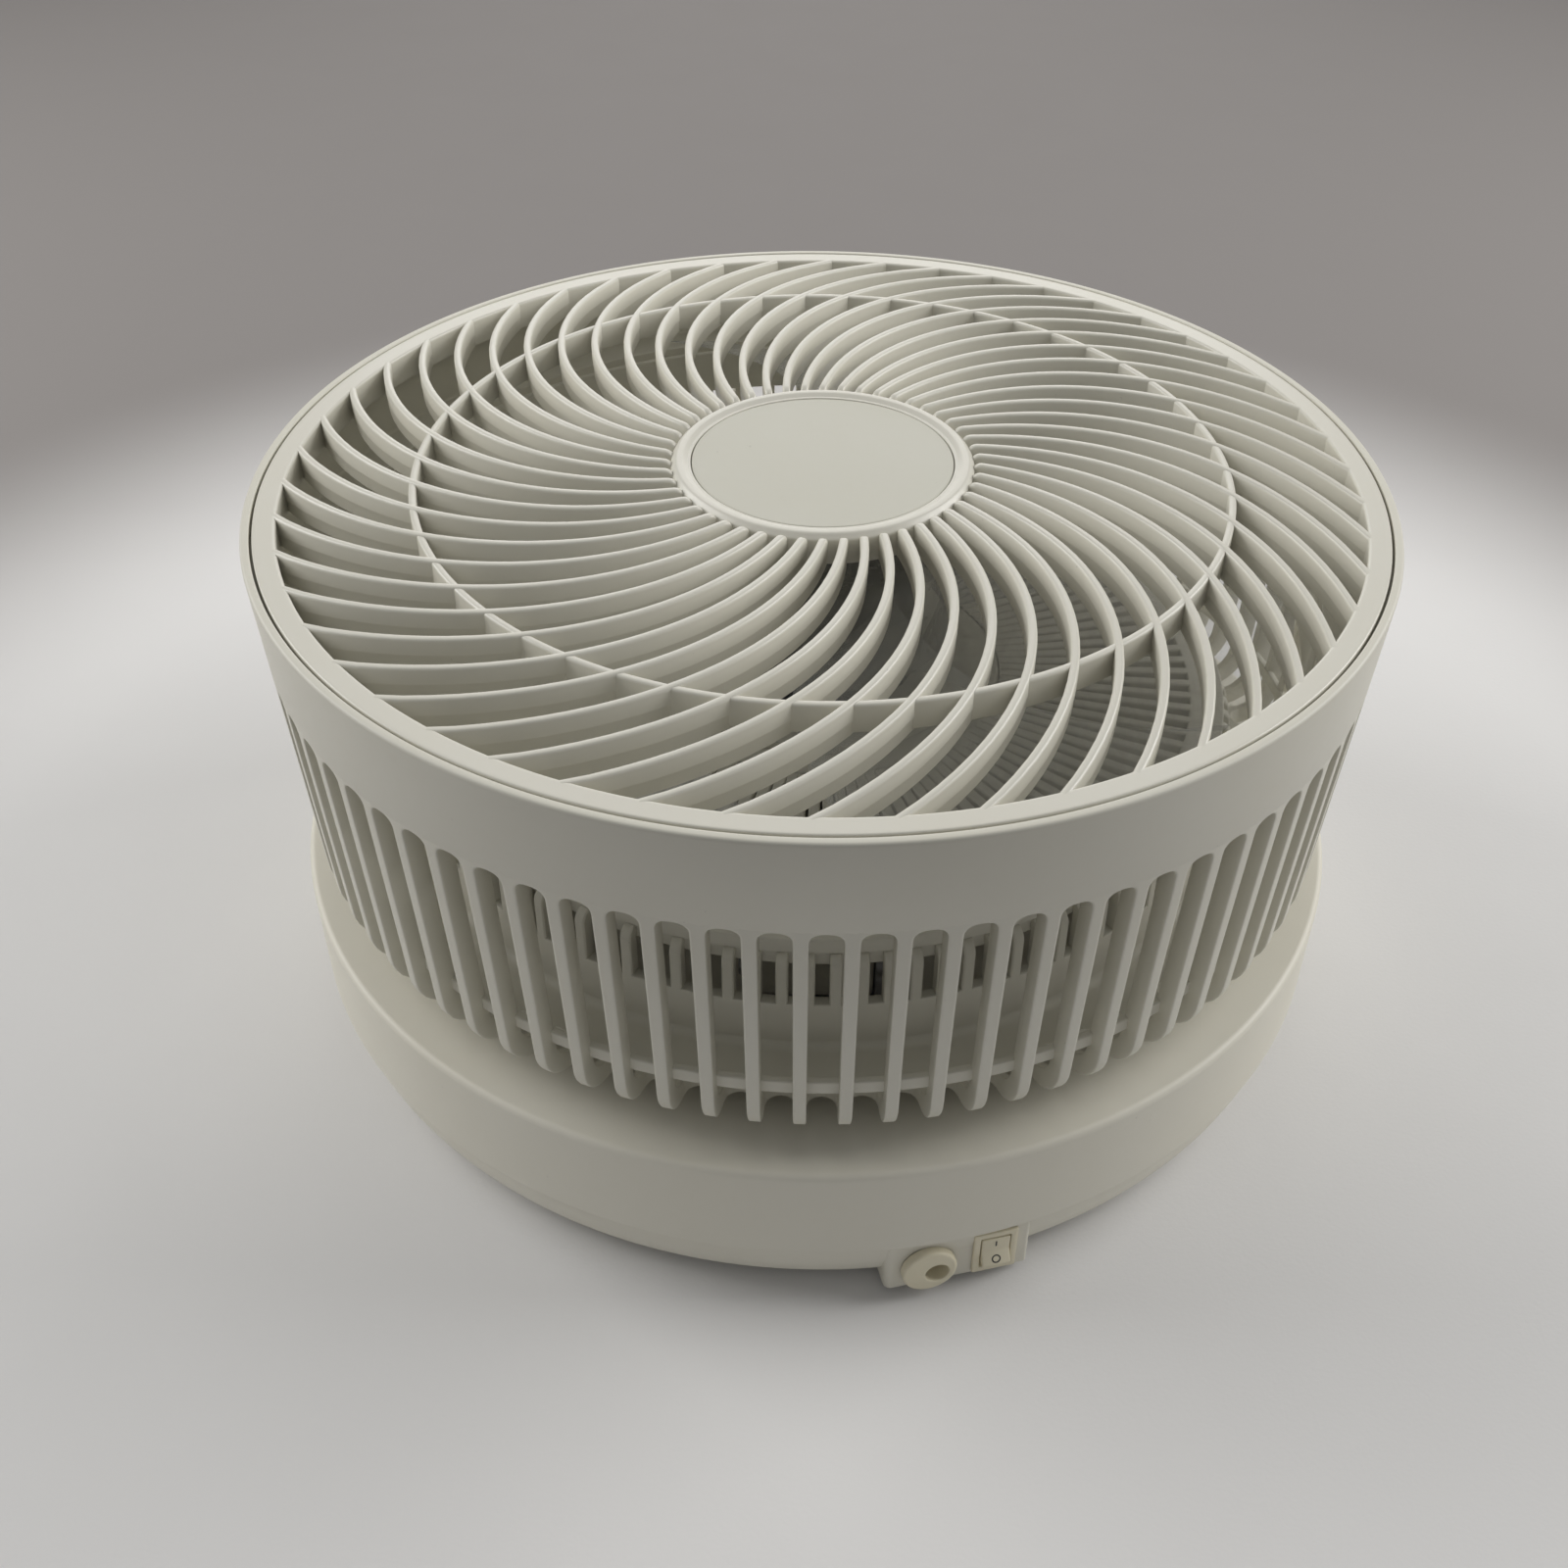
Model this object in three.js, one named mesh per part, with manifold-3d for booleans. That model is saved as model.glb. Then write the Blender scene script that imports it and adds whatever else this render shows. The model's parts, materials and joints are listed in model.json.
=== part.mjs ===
// A cordless folding fan, modelled folded flat as it is stored: the round fan head lies face up on the
// round base, and the telescopic pole lies in the recess in the back of the head, between the two.
// Frame: millimetres, +Z up, the floor at z = 0, the axis of the base at x = y = 0. -Y is the back of the
// base, with the power inlet and the switch. Azimuth runs from -Y towards +X.
import * as THREE from 'three';
import { mergeVertices } from 'three/addons/utils/BufferGeometryUtils.js';
import Module from 'manifold-3d';

// Fits
const seat = 0.3; // gap between two pieces that rest on each other
const clearance = 0.3; // radial gap round a pin, a shaft or a sliding tube
const overrun = 2; // how far a cut passes the face it goes through
const bury = 1.2; // how far a rib runs into the ring that carries it

// Driving sizes of the folded fan
const headRadius = 170;
const drumDepth = 113;
const baseTop = 56;
const foldGap = 6; // between the base and the folded head
const drumBottom = baseTop + foldGap;
const headTop = drumBottom + drumDepth;

// Recess in the back of the head, for the pole and its hinges
const guardInset = 37; // from the drum's outside to the recess
const guardRadius = headRadius - guardInset;
const guardThick = 3.6;
const guardCorner = 12; // radius of the shoulder between the recess's wall and its ceiling
const guardSlots = 112;
const guardBarShare = 0.442; // width of a bar as a share of the pitch round the recess's wall
const guardSlotDepth = 21.6; // how far the slots run down the wall
const guardPlate = guardBarShare * guardRadius; // where bars of one width meet
const guardBore = 14;

// Base shell
const baseInset = 0.4;
const baseRadius = headRadius - baseInset;
const shellWall = 2.5;
const seamHeight = 22.5; // joint between the pan and the cover
const panBottom = 2.5; // underside of the pan above the floor
const panFloor = panBottom + shellWall;
const bowlRun = 12; // how far the pan's rounded side runs inwards
const panStep = 1.8; // the pan's rim sits this far inside the cover's wall
const edgeRound = 1.8;
const coverDraft = 0.3;
const footRadius = 9;
const footInset = 41.6;
const footCircle = baseRadius - footInset;
const footCount = 4;
const firstFoot = 45; // azimuth

// Control box at the back of the pan, with the power inlet and the switch
const boxAzimuth = 14.6;
const boxWidth = 43.2;
const boxInset = 2.6;
const boxFace = baseRadius - boxInset; // distance of its flat face from the axis
const boxDepth = 24;
const boxWall = 2.2;
const inletOffset = -9.1; // along the face from its middle
const inletRadius = 8.1;
const inletMargin = 3; // below the seam
const inletHeight = seamHeight - inletMargin - inletRadius;
const inletProud = 2.8;
const inletHole = 3.55;
const inletShift = 2.2; // of the hole from the middle of the flange, along the face
const inletDrop = 1.1; // and downwards
const socketOffset = inletOffset + inletShift;
const socketHeight = inletHeight - inletDrop;
const inletBore = 9;
const inletBody = 5.2;
const inletBodyLength = 12;
const switchOffset = 10.9;
const switchHeight = (panBottom + seamHeight) / 2;
const switchMargin = 1.6; // above and below the switch
const switchTall = seamHeight - panBottom - 2 * switchMargin;
const switchWidth = 13.2;
const switchProud = 1.2;
const switchBodyDepth = 11;
const switchFrame = 2.1;
const rockerThick = 3.4;
const rockerBack = 2.2; // depth of the rocker behind its pivot
const rockerWaistShare = 0.75; // thickness of the rocker's middle as a share of its ends'
const rockerLean = 12; // degrees from one position to the middle

// Turntable let into the top of the base
const turntableInset = 10;
const turntableRadius = guardRadius - turntableInset;
const turntableDrop = 6;
const turntableTop = baseTop - turntableDrop;
const turntableThick = 3;
const turntableUnder = turntableTop - turntableThick;
const wellDepth = 12;
const wellFloor = baseTop - wellDepth; // top face of the floor under the turntable
const wellRadius = turntableRadius + 2 * clearance;
const postRadius = 25;
const postWall = 3.5;
const postDepth = 9; // how far the post reaches below the well's floor
const postBottom = wellFloor - postDepth;
const postHole = postRadius + 2 * clearance;
const glideInset = 19;
const glideWidth = 8;
const glideOuter = turntableRadius - glideInset;
const retainerWidth = 7;
const retainerThick = 2.4;

// Inside the base
const driveRadius = 24;
const driveShaft = 5;
const driveHubHeight = 7;
const cellRadius = 10.7;
const cellLength = 70;
const cellCount = 4;
const cellGap = 1.2;
const cellPitch = 2 * cellRadius + cellGap;
const trayWall = 2;
const batteryGap = 2.8; // between the swing drive and the battery tray
const cellRowX = -(driveRadius + batteryGap + trayWall + cellPitch * cellCount / 2);
const boardLength = 96;
const boardWidth = 44;
const boardThick = 1.6;
const boardGap = 16; // between the swing drive and the board
const boardX = driveRadius + boardGap + boardWidth / 2;
const boardLift = 7;
const boardHeight = panFloor + boardLift;
const boardInset = 4; // of the standoffs from the board's edges
const standoffRadius = 3;

// Buttons on the front of the base
const buttonCount = 4;
const buttonRadius = 6;
const buttonInset = 22.6;
const buttonCircle = baseRadius - buttonInset;
const buttonSpacing = 21.6; // along the circle
const buttonPitch = THREE.MathUtils.radToDeg(buttonSpacing / buttonCircle);
const buttonProud = 0.8;
const buttonLength = 6;
const buttonFlange = 1.4;
const buttonBoardDepth = 18;
const buttonBoardDrop = 10;
const buttonBoardTop = baseTop - buttonBoardDrop;

// Pole and its two hinges
const hingeInset = 28;
const hingeReach = turntableRadius - hingeInset; // distance of each hinge axis from the middle
const pinRadius = 4;
const pinProud = 1.5;
const knuckleRadius = 9;
const knuckleGap = 0.7; // between a knuckle and the bracket's plate
const bracketThick = 2.5;
const hingeHeight = turntableTop + seat + bracketThick + knuckleGap + knuckleRadius;
const poleLift = 17.5;
const poleHeight = hingeHeight + poleLift;
const tubeRadius = 14.9;
const tubeWall = 1.6;
const tubeCount = 4;
const tubeStart = knuckleRadius - hingeReach;
const knuckleProud = 2.3;
const knuckleHalf = tubeRadius + knuckleProud;
const earThick = 4;
const earInner = knuckleHalf + clearance;
const earOuter = earInner + earThick;
const plugLength = 20;
const collarLength = 4;
const collarProud = 1.5;
const footBlock = 9;
const neckBlock = 10;
const neckReach = 20; // from the neck's flat face to the head's hinge
const neckFace = hingeReach - neckReach;
const bracketFoot = 12;

// Head bracket over the folded pole, and the rear guard that it carries
const poleGap = 3.2; // between the folded pole and the bracket
const bracketPlate = 4;
const bracketDisc = 50;
const armOverhang = 17;
const bracketArm = hingeReach + armOverhang;
const guardUnder = poleHeight + tubeRadius + poleGap + bracketPlate + seat;
const guardTop = guardUnder + guardThick;
const guardSlotBottom = guardTop - guardSlotDepth;

// Fan head, drum
const wallTaper = 0.06; // loss of radius for each millimetre of depth
const bandHeight = 30.2; // plain band above the slots
const slotCrown = headTop - bandHeight;
const rimLand = 2.6; // width of the drum's lip outside the grille
const lipInner = headRadius - rimLand;
const lipRound = 0.7;
const shelfWidth = 3;
const flangeThick = 3;
const slotCount = 84;
const slotShare = 0.683; // width of a slot as a share of the pitch at its crown
const firstSlot = 0.8; // azimuth
const slatDepth = 16;
const slatCorner = 15;
const footRingGap = 0.6; // between the recess and the ring at the foot of the slats
const footRingWall = 4;
const footRingInner = guardRadius + footRingGap;
const footRingOuter = footRingInner + footRingWall;
const barHeight = 4.5;
const guideWall = 2;
const guideDepth = 15.5;
const guideBottom = slotCrown - guideDepth;

// Fan head, front grille
const openingInset = 10;
const openingRadius = headRadius - openingInset;
const grilleGap = 0.8; // dark line between the grille's rim and the drum's lip
const rimThick = 3;
const rimSkirt = 2.4;
const finCount = 50;
const finThick = 2.4;
const finDepth = 9.4;
const firstFin = 7.75; // azimuth at the hub
const finSweep = 29.7; // degrees of even sweep from hub to rim
const finCurl = 14.3; // degrees of sweep that grow with the square of the distance
const domeRise = 5.8;
const domePower = 4.5;
const ringShare = 0.756; // radius of the middle ring as a share of the opening's
const ringRadius = ringShare * openingRadius;
const ringWall = 2.2;
const ringDrop = 0.4; // the ring's top lies this far below the fins
const hubShare = 0.267; // radius of the hub as a share of the head's
const hubRadius = hubShare * headRadius;
const hubSkirt = 2.8;
const hubLand = 5.9;
const hubFloorDrop = 3.5;
const hubFloor = 2;
const hubTop = headTop + domeRise;
const hubInner = hubRadius - hubLand;
const hubFloorTop = hubTop - hubFloorDrop;
const capThick = 2.3;

// Motor and impeller
const motorPlate = 2.6;
const shaftRadius = 4;
const shaftProud = 2; // above the impeller
const bearingWidth = 5;
const bearingRadius = 8.6;
const impellerInset = 25;
const impellerRadius = headRadius - impellerInset;
const impellerDrop = 17; // below the top of the drum
const impellerLift = 18; // above the rear guard
const impellerTop = headTop - impellerDrop;
const impellerBottom = guardTop + impellerLift;
const impellerHubInset = 3.4;
const impellerHub = hubRadius - impellerHubInset;
const impellerWall = 2.2;
const impellerBoss = 10;
const impellerRound = 5;
const bladeCount = 7;
const firstBlade = 9.5; // azimuth
const bladeThick = 2;
const bladeMargin = 3.5; // between the ends of a blade and the ends of the hub cup
const bladeCamber = 7;
const rootPitch = 42; // degrees
const tipPitch = 17;
const bladeSweep = 22;
const nutRadius = 9;
const nutHeight = 9;
const rotorShare = 0.435; // height of the rotor's top as a share of the room in front of the guard
const rotorTop = guardTop + rotorShare * (headTop - guardTop);
const rotorHubShare = 0.786; // radius of the rotor as a share of the impeller's hub
const rotorRadius = rotorHubShare * impellerHub;
const rotorWall = 3;
const motorTubeDrop = 5;
const motorTubeTop = rotorTop - motorTubeDrop;
const statorShare = 0.788; // radius of the stator as a share of the rotor's
const statorRadius = statorShare * rotorRadius;
const socketShare = 0.364; // radius of the tube that carries the stator, as a share of the rotor's
const motorSocket = socketShare * rotorRadius;
const statorLift = 6;
const statorBottom = guardTop + statorLift;
const statorHeight = 12;
const statorPoles = 9;
const poleRootShare = 0.6; // of the pitch between the stator's poles
const poleFaceShare = 0.76;

// Faceting
const fine = 36;
const round = 14;
const small = 10;
const tiny = 8;
const drumFacets = slotCount / 2; // so that each slat lies in one facet
const guardFacets = guardSlots / 4;
const finFacets = 4;
const bladeFacets = 3;
const archFacets = 3;
const cornerFacets = 3;
const knuckleFacets = 6;
const mergeTolerance = 1e-4;
const flatness = 0.03; // corners closer than this to a straight edge or a flat face are left out

const wasm = await Module();
wasm.setup();

const offWhite = 0xdad9d0;
const steel = [0xb4b6b8, 0.3, 1];
const dark = [0x26272a, 0.6, 0];
const rubber = [0x3a3b3c, 0.9, 0];
const cream = [0xd8d2ba, 0.45, 0];
const circuit = [0x2f6b3f, 0.5, 0];
const slippery = [0xe9e7de, 0.35, 0];
const fan = new THREE.Group();

const deg = (angle) => THREE.MathUtils.degToRad(angle);

function direction(azimuth) {
  return [Math.sin(deg(azimuth)), -Math.cos(deg(azimuth))];
}

// [x, y] points evenly spaced on a circle.
function circlePlaces(count, radius, start, pitch = 360 / count) {
  return Array.from({ length: count }, (_, i) => direction(start + pitch * i).map((part) => radius * part));
}

// A closed surface becomes a solid: shared corners are merged, and it is turned to face outwards.
function solid(geometry) {
  const bare = new THREE.BufferGeometry();
  bare.setAttribute('position', geometry.getAttribute('position'));
  if (geometry.index) bare.setIndex(geometry.index);
  const merged = mergeVertices(bare, mergeTolerance);
  const points = merged.getAttribute('position').array;
  const corner = (i) => new THREE.Vector3().fromArray(points, 3 * i);
  let volume = 0;
  let faces = [];
  for (let i = 0; i < merged.index.count; i += 3) {
    const [a, b, c] = [0, 1, 2].map((k) => merged.index.getX(i + k));
    if (a === b || b === c || c === a) continue;
    faces.push([a, b, c]);
    volume += corner(a).dot(corner(b).cross(corner(c)));
  }
  if (volume < 0) faces = faces.map(([a, b, c]) => [a, c, b]);
  return new wasm.Manifold(new wasm.Mesh({
    numProp: 3,
    vertProperties: new Float32Array(points),
    triVerts: new Uint32Array(faces.flat()),
  }));
}

function surface(body) {
  const { vertProperties, triVerts } = body.getMesh();
  const geometry = new THREE.BufferGeometry();
  geometry.setAttribute('position', new THREE.BufferAttribute(new Float32Array(vertProperties), 3));
  geometry.setIndex(new THREE.BufferAttribute(new Uint32Array(triVerts), 1));
  return geometry;
}

const joined = (...bodies) => wasm.Manifold.union(bodies.flat());

// A profile of [radius, height] points turned round Z. It starts and ends on the axis, or is closed here.
function turnedProfile(profile, segments, startAzimuth = 0) {
  const points = profile.map(([r, z]) => new THREE.Vector2(r, z));
  if (points[0].x > 0) points.push(points[0].clone());
  const geometry = new THREE.LatheGeometry(points, segments, deg(startAzimuth));
  return geometry.rotateX(Math.PI / 2);
}

const revolve = (profile, segments, start) => solid(turnedProfile(profile, segments, start));

function ring(inner, outer, bottom, top, segments, start) {
  return revolve([[inner, bottom], [outer, bottom], [outer, top], [inner, top]], segments, start);
}

function disc(radius, bottom, top, segments = round, x = 0, y = 0) {
  const geometry = new THREE.CylinderGeometry(radius, radius, top - bottom, segments);
  return solid(geometry.rotateX(Math.PI / 2).translate(x, y, (top + bottom) / 2));
}

function box(x0, x1, y0, y1, z0, z1) {
  const geometry = new THREE.BoxGeometry(x1 - x0, y1 - y0, z1 - z0);
  return geometry.translate((x0 + x1) / 2, (y0 + y1) / 2, (z0 + z1) / 2);
}

// A plan of [x, y] points with a height, from z = start upwards.
function prism(outline, depth, start = 0) {
  const shape = new THREE.Shape(outline.map(([u, v]) => new THREE.Vector2(u, v)));
  return new THREE.ExtrudeGeometry(shape, { depth, bevelEnabled: false, steps: 1 }).translate(0, 0, start);
}

// The same outline standing upright: [y, z] points, spread evenly to both sides of x = centre.
function sidePrism(outline, width, centre = 0) {
  const flat = prism(outline, width, -width / 2);
  const turn = new THREE.Matrix4().makeBasis(
    new THREE.Vector3(0, 1, 0), new THREE.Vector3(0, 0, 1), new THREE.Vector3(1, 0, 0));
  return flat.applyMatrix4(turn).translate(centre, 0, 0);
}

// A round bar along Y, or along X.
function barAlongY(radius, y0, y1, z, segments = round) {
  const geometry = new THREE.CylinderGeometry(radius, radius, y1 - y0, segments);
  return solid(geometry.translate(0, (y0 + y1) / 2, z));
}

function barAlongX(radius, half, y, z, segments = small) {
  const geometry = new THREE.CylinderGeometry(radius, radius, 2 * half, segments);
  return solid(geometry.rotateZ(Math.PI / 2).translate(0, y, z));
}

// Sections of equally many points joined by flat faces, closed at both ends.
function loft(sections) {
  const count = sections[0].length;
  const faces = [];
  for (let s = 0; s + 1 < sections.length; s++) {
    for (let k = 0; k < count; k++) {
      const a = s * count + k;
      const b = s * count + (k + 1) % count;
      faces.push(a, b, b + count, a, b + count, a + count);
    }
  }
  const last = (sections.length - 1) * count;
  for (let k = 1; k + 1 < count; k++) {
    faces.push(0, k + 1, k, last, last + k, last + k + 1);
  }
  const geometry = new THREE.BufferGeometry();
  geometry.setAttribute('position', new THREE.Float32BufferAttribute(sections.flat(2), 3));
  geometry.setIndex(faces);
  return geometry;
}

function arc(centreR, centreZ, radius, from, to, steps) {
  return Array.from({ length: steps + 1 }, (_, i) => {
    const angle = deg(from + (to - from) * i / steps);
    return [centreR + radius * Math.cos(angle), centreZ + radius * Math.sin(angle)];
  });
}

// Copies of one piece turned round Z.
function around(geometry, count, startAzimuth = 0) {
  return Array.from({ length: count }, (_, i) => (
    solid(geometry.clone().rotateZ(deg(startAzimuth + 360 * i / count)))));
}

function add(name, body, color = offWhite, roughness = 0.5, metalness = 0) {
  const material = new THREE.MeshStandardMaterial({ color, roughness, metalness });
  const mesh = new THREE.Mesh(surface(body.asOriginal().simplify(flatness)), material);
  mesh.name = name;
  fan.add(mesh);
}

// Base: pan with the control box
function basePan() {
  const rim = baseRadius - panStep;
  const drop = seamHeight - panBottom;
  const bowl = (inset) => [90, 45, 0].map((angle) => [
    rim - bowlRun + (bowlRun - inset) * Math.cos(deg(angle)),
    seamHeight - (drop - inset) * Math.sin(deg(angle)),
  ]);
  const shell = revolve([[0, panBottom], ...bowl(0), ...bowl(shellWall).reverse(), [0, panFloor]], fine);
  const half = boxWidth / 2;
  const back = boxDepth - boxFace;
  const block = solid(box(-half, half, -boxFace, bowlRun - rim, panBottom, seamHeight));
  const hollow = solid(box(boxWall - half, half - boxWall, boxWall - boxFace, back,
    panFloor, seamHeight + overrun));
  const inletCut = barAlongY(inletBody + clearance, -boxFace - overrun, back, socketHeight, small);
  const reach = (size) => (size - switchFrame) / 2 + clearance;
  const switchCut = solid(box(-reach(switchWidth), reach(switchWidth), -boxFace - overrun, back,
    switchHeight - reach(switchTall), switchHeight + reach(switchTall)));
  const standoffs = boardCorners().map(([x, y]) => (
    disc(standoffRadius, panFloor - shellWall / 2, boardHeight - seat, tiny, x, y)));
  const cuts = joined(atFace(hollow, 0), atFace(inletCut, socketOffset), atFace(switchCut, switchOffset));
  return joined(shell, atFace(block, 0), standoffs).subtract(cuts);
}

// A piece made on the -Y side is moved along the control face and turned to where that face looks.
function atFace(body, offset) {
  return solid(surface(body).translate(offset, 0, 0).rotateZ(deg(boxAzimuth)));
}

function boardCorners() {
  const across = boardWidth / 2 - boardInset;
  const along = boardLength / 2 - boardInset;
  return [[-1, -1], [1, -1], [1, 1], [-1, 1]].map(([i, j]) => [boardX + i * across, j * along]);
}
add('base_pan', basePan());

// Base: cover with the well for the turntable
const coverUnder = baseTop - shellWall;
const buttonPlaces = circlePlaces(
  buttonCount, buttonCircle, 180 - buttonPitch * (buttonCount - 1) / 2, buttonPitch);
const boardPostX = buttonSpacing * buttonCount / 2 + buttonRadius;
function baseCover() {
  const inner = baseRadius - shellWall;
  const wellOuter = wellRadius + shellWall;
  const shell = revolve([
    [baseRadius - coverDraft, seamHeight + seat], [baseRadius, baseTop - edgeRound],
    [baseRadius - edgeRound, baseTop], [wellRadius, baseTop], [wellRadius, wellFloor],
    [postHole, wellFloor], [postHole, wellFloor - shellWall], [wellOuter, wellFloor - shellWall],
    [wellOuter, coverUnder], [inner, coverUnder], [inner, seamHeight + seat]], fine);
  const buttonHoles = buttonPlaces.map(([x, y]) => (
    disc(buttonRadius + clearance, coverUnder - overrun, baseTop + overrun, small, x, y)));
  const boardPosts = [-1, 1].map((side) => (
    disc(standoffRadius, buttonBoardTop + seat, baseTop - shellWall / 2, tiny,
      side * boardPostX, buttonCircle)));
  return joined(shell, boardPosts).subtract(joined(buttonHoles));
}
add('base_cover', baseCover());

for (const [i, [x, y]] of circlePlaces(footCount, footCircle, firstFoot).entries()) {
  add(`foot_${i + 1}`, disc(footRadius, 0, panBottom - seat, small, x, y), ...rubber);
}

// Base: power inlet and switch in the control box
const controlFront = -boxFace - seat;
function powerInlet() {
  const mouth = controlFront - inletProud;
  const barrelEnd = controlFront + inletBodyLength;
  const flange = barAlongY(inletRadius, mouth, controlFront, inletHeight, round);
  const barrel = barAlongY(inletBody, controlFront - seat, barrelEnd, socketHeight, small);
  const bore = barAlongY(inletHole, mouth - overrun, mouth + inletBore, socketHeight, fine);
  return atFace(flange, inletOffset).add(atFace(barrel, socketOffset)).subtract(atFace(bore, socketOffset));
}
add('power_inlet', powerInlet(), ...cream);

const pocketHalf = switchWidth / 2 - switchFrame;
const pocketRise = switchTall / 2 - switchFrame;
function switchHousing() {
  const back = controlFront + switchBodyDepth;
  const block = (halfX, halfZ, y0, y1) => (
    solid(box(-halfX, halfX, y0, y1, switchHeight - halfZ, switchHeight + halfZ)));
  const bezel = block(switchWidth / 2, switchTall / 2, controlFront - switchProud, controlFront);
  const body = block((switchWidth - switchFrame) / 2, (switchTall - switchFrame) / 2,
    controlFront - seat, back);
  const pocket = block(pocketHalf, pocketRise, controlFront - switchProud - overrun, back - switchFrame);
  return atFace(bezel.add(body).subtract(pocket), switchOffset);
}
add('switch_frame', switchHousing(), ...cream);

// Its upper half is pressed in and its lower half stands out.
function switchRocker() {
  const rise = pocketRise - rockerThick / 3;
  const nose = -rockerThick - switchProud;
  const outline = [[nose, rise], [nose * rockerWaistShare, 0], [nose, -rise],
    [rockerBack, -rise * rockerWaistShare], [rockerBack, rise * rockerWaistShare]];
  const wing = sidePrism(outline, 2 * (pocketHalf - clearance)).rotateX(deg(-rockerLean));
  return atFace(solid(wing.translate(0, switchFrame - boxFace, switchHeight)), switchOffset);
}
add('switch_rocker', switchRocker(), ...cream);

// Base: buttons in front of the turntable, and their board
for (const [i, [x, y]] of buttonPlaces.entries()) {
  const stem = disc(buttonRadius, coverUnder - buttonLength, baseTop + buttonProud, small, x, y);
  const flange = disc(buttonRadius + buttonFlange, coverUnder - seat - buttonFlange, coverUnder - seat,
    small, x, y);
  add(`button_${i + 1}`, stem.add(flange), 0xe6e5dd, 0.4, 0);
}
const buttonBoardReach = boardPostX + standoffRadius;
add('button_board', solid(box(-buttonBoardReach, buttonBoardReach, buttonCircle - buttonBoardDepth / 2,
  buttonCircle + buttonBoardDepth / 2, buttonBoardTop - boardThick, buttonBoardTop)), ...circuit);

// Base: battery, control board and swing drive
const trayBottom = panFloor + seat;
const cellHeight = trayBottom + trayWall + seat + cellRadius;
for (let i = 0; i < cellCount; i++) {
  const x = cellRowX + cellPitch * (i - (cellCount - 1) / 2);
  const cell = surface(barAlongY(cellRadius, -cellLength / 2, cellLength / 2, cellHeight));
  add(`battery_cell_${i + 1}`, solid(cell.translate(x, 0, 0)), 0x2f4f7a, 0.4, 0);
}

function batteryTray() {
  const halfX = cellPitch * cellCount / 2 + trayWall;
  const halfY = cellLength / 2 + seat;
  const wall = (y0, y1, top) => solid(box(cellRowX - halfX, cellRowX + halfX, y0, y1, trayBottom, top));
  return joined(
    wall(-halfY - trayWall, halfY + trayWall, trayBottom + trayWall),
    wall(-halfY - trayWall, -halfY, cellHeight),
    wall(halfY, halfY + trayWall, cellHeight));
}
add('battery_tray', batteryTray(), ...dark);

function controlBoard() {
  const unit = boardWidth / 8;
  const slab = solid(box(boardX - boardWidth / 2, boardX + boardWidth / 2, -boardLength / 2, boardLength / 2,
    boardHeight, boardHeight + boardThick));
  const connectors = [-1, 0, 1].map((i) => {
    const y = i * boardLength / 4;
    return solid(box(boardX - 2.5 * unit, boardX - unit, y - unit, y + unit,
      boardHeight + boardThick / 2, boardHeight + 1.5 * unit));
  });
  const can = disc(unit, boardHeight, boardHeight + 2.5 * unit, small, boardX + 2 * unit, 3.5 * unit);
  return joined(slab, connectors, can);
}
add('control_board', controlBoard(), ...circuit);

const driveTop = postBottom - overrun;
add('swing_drive', disc(driveRadius, panFloor + seat, driveTop)
  .add(disc(driveShaft, driveTop - overrun, wellFloor, small)), ...steel);

// Turntable, the ring that it glides on, and what turns it and holds it down
add('turntable', revolve([[0, turntableTop], [turntableRadius, turntableTop],
  [turntableRadius, turntableUnder], [postRadius, turntableUnder], [postRadius, postBottom],
  [postRadius - postWall, postBottom], [postRadius - postWall, turntableUnder], [0, turntableUnder]], fine));
add('glide_ring', ring(glideOuter - glideWidth, glideOuter, wellFloor + seat, turntableUnder - seat,
  2 * small), ...slippery);
const retainerTop = wellFloor - shellWall - seat;
const retainerInner = (postRadius + seat) / Math.cos(Math.PI / round); // clear of the post at its flats
add('retaining_ring', ring(retainerInner, retainerInner + retainerWidth, retainerTop - retainerThick,
  retainerTop, round), ...steel);
add('drive_hub', ring(driveShaft + clearance, postRadius - postWall - 2 * clearance, postBottom,
  postBottom + driveHubHeight, round), ...slippery);

// Pole bracket on the turntable, and the pole's lower hinge
function poleBracket() {
  const bottom = turntableTop + seat;
  const [back, front] = [-hingeReach - bracketFoot, bracketFoot - hingeReach];
  const outline = [[back, bottom], [front, bottom],
    ...arc(-hingeReach, hingeHeight, knuckleRadius, 0, 180, knuckleFacets)];
  const plate = solid(box(-earOuter, earOuter, back, front, bottom, bottom + bracketThick));
  const bore = barAlongX(pinRadius + clearance, earOuter + overrun, -hingeReach, hingeHeight);
  return joined(ears(outline), plate).subtract(bore);
}

// The two ears of a hinge bracket, on either side of the knuckle between them.
function ears(outline) {
  return [-1, 1].map((side) => solid(sidePrism(outline, earThick, side * (earInner + earOuter) / 2)));
}

const hingePin = (y) => barAlongX(pinRadius, earOuter + pinProud, y, hingeHeight);
add('pole_bracket', poleBracket(), ...steel);
add('base_hinge_pin', hingePin(-hingeReach), ...steel);

// Pole: foot, nested tubes with a guide collar at each mouth, and the neck at the head's hinge
const tubeOuter = (i) => tubeRadius - i * (tubeWall + clearance);
const tubeInner = (i) => tubeOuter(i) - tubeWall;
const tubeMouth = (i) => neckFace - seat - (tubeCount - 1 - i) * (collarLength + 2 * seat);

function tubeAlongY(inner, outer, y0, y1) {
  const profile = [[inner, y0], [outer, y0], [outer, y1], [inner, y1]];
  return solid(turnedProfile(profile, round).rotateX(-Math.PI / 2).translate(0, 0, poleHeight));
}

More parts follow.
